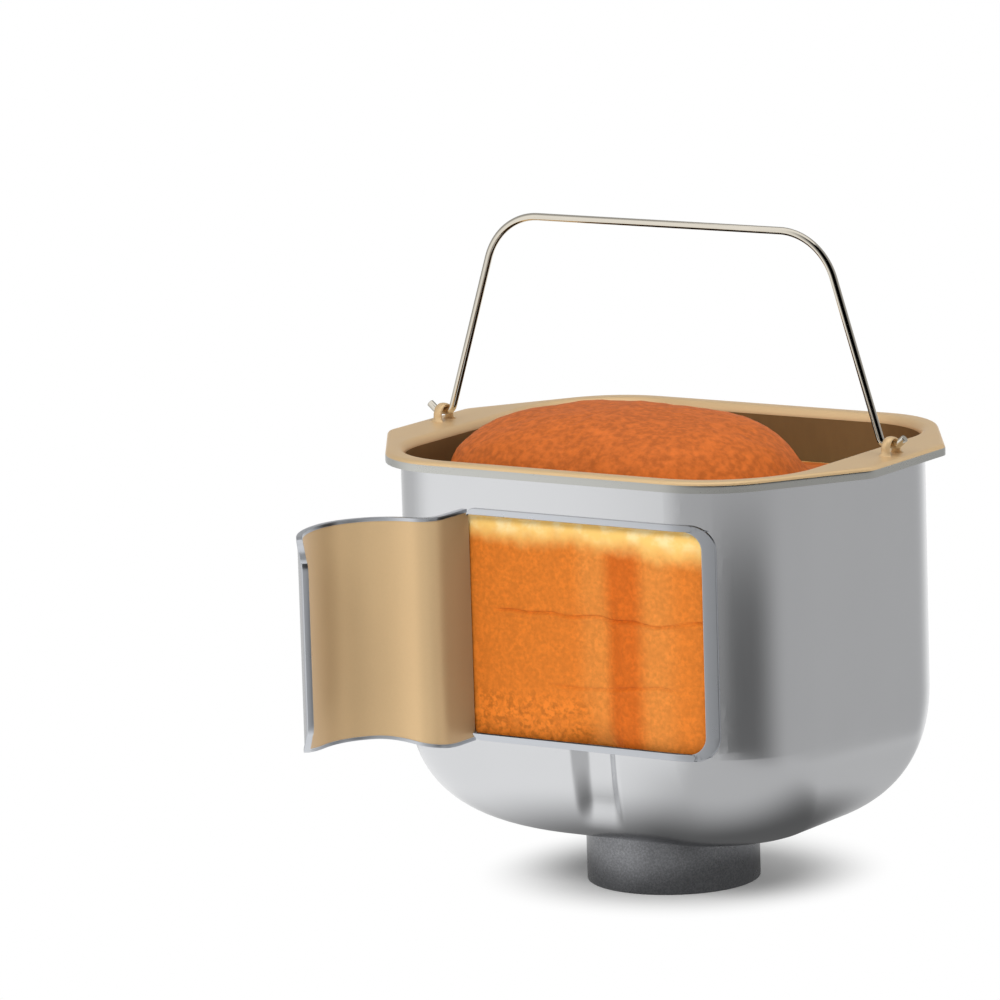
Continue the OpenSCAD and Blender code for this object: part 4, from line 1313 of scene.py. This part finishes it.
FLAP_CURL = 52
FLAP_LAP = 0.6 * MM
FLAP_BAND = 1.3 * MM
FLAP_CORNER = 13 * MM
FLAP_RISE = 4.5 * MM
FLAP_LIFT = 4 * MM
BAIL_PIVOT_Z = 168 * MM
TIP_X = BRIDGE_X + 4.6 * MM
TIP_L = 4 * MM
TIP_TURN = math.radians(40)
TIP_BEND = 1.9 * MM
LEG_BEND = 3 * MM
BAIL_TOP_HALF = 68.5 * MM
BAIL_R = 23 * MM
SHOULDER_DROP = 18.4 * MM
CROWN_POWER = 2.7
RIB_FLANK = 5.8 * MM
RIB_LEAN = 0.48
# Painted light and shade of the groove that the pan's rib leaves in the crust, lit flanks either side
# of a shaded valley: where each band starts and ends along X, and its tint
LIT_FLANK_TINT = (1.05, 1.25, 1.8)
SHADED_VALLEY_TINT = (0.9, 0.7, 0.5)
RIB_SHADING_BANDS = ((0.003, 0.011, LIT_FLANK_TINT), (0.015, 0.022, SHADED_VALLEY_TINT),
               (0.029, 0.037, LIT_FLANK_TINT), (0.041, 0.052, (1, 1, 1)))
# Where the bubbled patch, the pale band with its palest part, and the crown fade in
BUBBLES_X = (0.018, 0.002)
BUBBLES_Z = (0.086, 0.076)
PALE_RISE = (0.1378, 0.1468)
PALEST_RISE = (0.142, 0.1475)
CROWN_RISE = (0.1453, 0.1464)
HOLE_R = HOUSING_HOLE / 2 + HOUSING_GAP
GROOVE_SPREAD = 10   # extra width of the crust's groove, for its extra depth
RIB_FOOT = (6 * MM, 17 * MM)   # heights above the floor between which a rib starts
RIB_HEAD = 12 * MM
SPRING_BACK = 0.55
SPRING_RISE = 8 * MM
FLANK_ROUND = 0.18
NUDGE = 0.001   # small step that gives the curve's slope
CORNER_POWER = 1.3
CUT_BEYOND = 6 * MM
CUT_TURN = 15
BRIDGE_T = 1.2 * MM
RIM_THIN = 0.8   # share of its thickness that the sheet keeps in the rim
COAT_END = 0.7
EDGING_ROUND = 0.95 * MM
EDGING_STEP = 1.5 * MM
FLAP_EDGING_ROUND = 0.85 * MM
FLAP_STEP = 1.2 * MM
FLAP_RISE_RUN = (8 * MM, 44 * MM)
FLAP_LIFT_FROM = 68 * MM
COLLAR_ROUND = 0.5 * MM
WIRE_ROUND = 0.3 * MM
WIRE_STEP = 1.2 * MM
GROOVE_EXTRA = 0.4 * MM
LOAF_CURVE_ROWS = 14
LOAF_ROW = 1.3 * MM
SHOULDER_START = 5 * MM
CREASE_REACH = 4 * MM
CREASE_ROW = 0.22 * MM
SHOULDER_R = 4 * MM
CROWN_ROWS = 44
CROWN_SPREAD = 1.15
CROWN_END = 0.9995
FOOT_POWER = 9
CROWN_ROUND = 0.96
LAMP_AIM = (0, 0, 0.1)
FLOOR_SIZE = 14
BROAD_GRAIN = 18 * MM
FINE_GRAIN = 3.2 * MM
SWELL_LIMIT = 0.35   # millimetres that the crust may stand out
# Creases across the window: height, start, end along X, and depth in millimetres
CREASES = ((0.1105, -0.032, 0.075, 1.0), (0.0855, -0.008, 0.052, 0.6))

# Camera: azimuth, elevation and lean in degrees, and the pixel where the target point lies
CAMERA_TURN = (31.71, 11.27, 1.46)
CAMERA_LENS = 250
SENSOR = 36
IMAGE_SIZE = 1000
TARGET_PIXEL = (667.94, 636.39)
TARGET_Z = 90 * MM
CAMERA_DISTANCE = 2.552

# Lamps: name, place, diameter and power in watts
LAMPS = (("key_lamp", (0.25, -1.8, 1.4), 1.0, 21.0),
         ("fill_lamp", (1.6, 0.2, 0.7), 0.8, 9.0),
         ("top_lamp", (0.0, 0.2, 1.6), 1.4, 9.0))
FILL_LEVEL = 0.55
SURROUND_R = 0.26
SURROUND_H = 0.7
# Shadow kept round the collar: its middle, and where it starts and ends to fade
SHADOW_MIDDLE = (-0.001, 0.009, 0)
SHADOW_REACH = (0.036, 0.079)
# Painted shadow under the pan: a dark spot on the floor as the metal sees it
PAINTED_SHADOW_MIDDLE = (0.02, 0, 0)
PAINTED_SHADOW_SHAPE = (0.6, 1, 1)
PAINTED_SHADOW_REACH = (0.034, 0.087)
PAINTED_SHADOW_LEVEL = 0.2
# White tent that the metal sees, and the soft-edged cards in it: bearings in degrees from the
# front towards the right, heights in millimetres (below zero on the floor), and light level
TENT_LEVEL = 1.0
CARD_SIDE_FADE = math.radians(15)
CARD_TOP_FADE = 25 * MM
CARDS = (((0, 170), (-400, -50), 0.6),       # grey floor sheet at the right
         ((-110, -65), (-50, 180), 0.6),     # grey card at the left
         ((-10, 160), (-50, 180), 0.5),      # grey card round the right
         ((32, 72), (-50, 110), 0.15),       # black card beside the camera
         ((-200, 200), (180, 900), 0.4),     # grey ceiling
         ((-65, -10), (180, 900), 1.0),      # white panel in it at the front left
         ((10, 100), (180, 900), 0.0))       # black panel in it above the camera

FINISHES = {
    "drawn_aluminium": drawn_aluminium,
    "shaded_inner_coating": shaded_inner_coating,
    "champagne_coating": champagne_coating,
    "bare_skirt": bare_skirt,
    "bright_edging": bright_edging,
    "cast_collar": cast_collar,
    "polished_wire": polished_wire,
    "bread_crust": bread_crust,
    "plated_steel": lambda colours: worked_metal(
        "plated_steel", linear("#c4c5c2"), 0.28, (1.5, 1.5, 1.5), 0.004),
    "red_silicone": lambda colours: moulded("red_silicone", "#8f3b2e", 0.55, 1.2, 0.01),
    "turned_aluminium": lambda colours: worked_metal(
        "turned_aluminium", linear("#c9cacb"), 0.3, (4, 4, 0.25), 0.004),
    "sintered_bronze": lambda colours: worked_metal(
        "sintered_bronze", linear("#b08d57"), 0.45, (0.4, 0.4, 0.4), 0.02),
    "oiled_felt": lambda colours: moulded("oiled_felt", "#b8ae96", 0.9, 0.5, 0.08),
    "turned_stainless": lambda colours: worked_metal(
        "turned_stainless", linear("#cfd1d3"), 0.22, (3, 3, 0.3), 0.003),
    "white_nylon": lambda colours: moulded("white_nylon", "#e8e6df", 0.4, 1.0, 0.004),
    "spring_steel": lambda colours: worked_metal(
        "spring_steel", linear("#7f8183"), 0.35, (1, 1, 1), 0.004),
    "sintered_steel": lambda colours: worked_metal(
        "sintered_steel", linear("#77797b"), 0.5, (0.5, 0.5, 0.5), 0.03),
    "dark_coating": lambda colours: moulded("dark_coating", "#3b3836", 0.4, 0.8, 0.006),
}

OPERATORS = (PAN_OT_wall, PAN_OT_rim, PAN_OT_window_edging, PAN_OT_flap, PAN_OT_base,
             PAN_OT_drive, PAN_OT_bail, PAN_OT_loaf, PAN_OT_stage)


class PAN_PT_builder(bpy.types.Panel):
    """Sidebar panel with the sizes, the colours and one button for each step"""

    bl_idname = "PAN_PT_builder"
    bl_label = "Bread Pan"
    bl_space_type = "VIEW_3D"
    bl_region_type = "UI"
    bl_category = "Bread Pan"

    def draw(self, context):
        for group in (context.scene.pan_sizes, context.scene.pan_colours):
            box = self.layout.box()
            for name in group.__annotations__:
                box.prop(group, name)
        for operator in OPERATORS:
            self.layout.operator(operator.bl_idname)


CLASSES = (PanSizes, PanColours, *OPERATORS, PAN_PT_builder)


def register():
    """Registers the classes and hangs the two groups on the scene."""
    for cls in CLASSES:
        bpy.utils.register_class(cls)
    bpy.types.Scene.pan_sizes = PointerProperty(type=PanSizes)
    bpy.types.Scene.pan_colours = PointerProperty(type=PanColours)


def unregister():
    """Takes the two groups and the classes away again."""
    del bpy.types.Scene.pan_colours
    del bpy.types.Scene.pan_sizes
    for cls in reversed(CLASSES):
        bpy.utils.unregister_class(cls)


def main():
    """Builds every piece and the stage."""
    register()
    for operator in OPERATORS:
        group, name = operator.bl_idname.split(".")
        getattr(getattr(bpy.ops, group), name)()


if __name__ == "__main__":
    main()
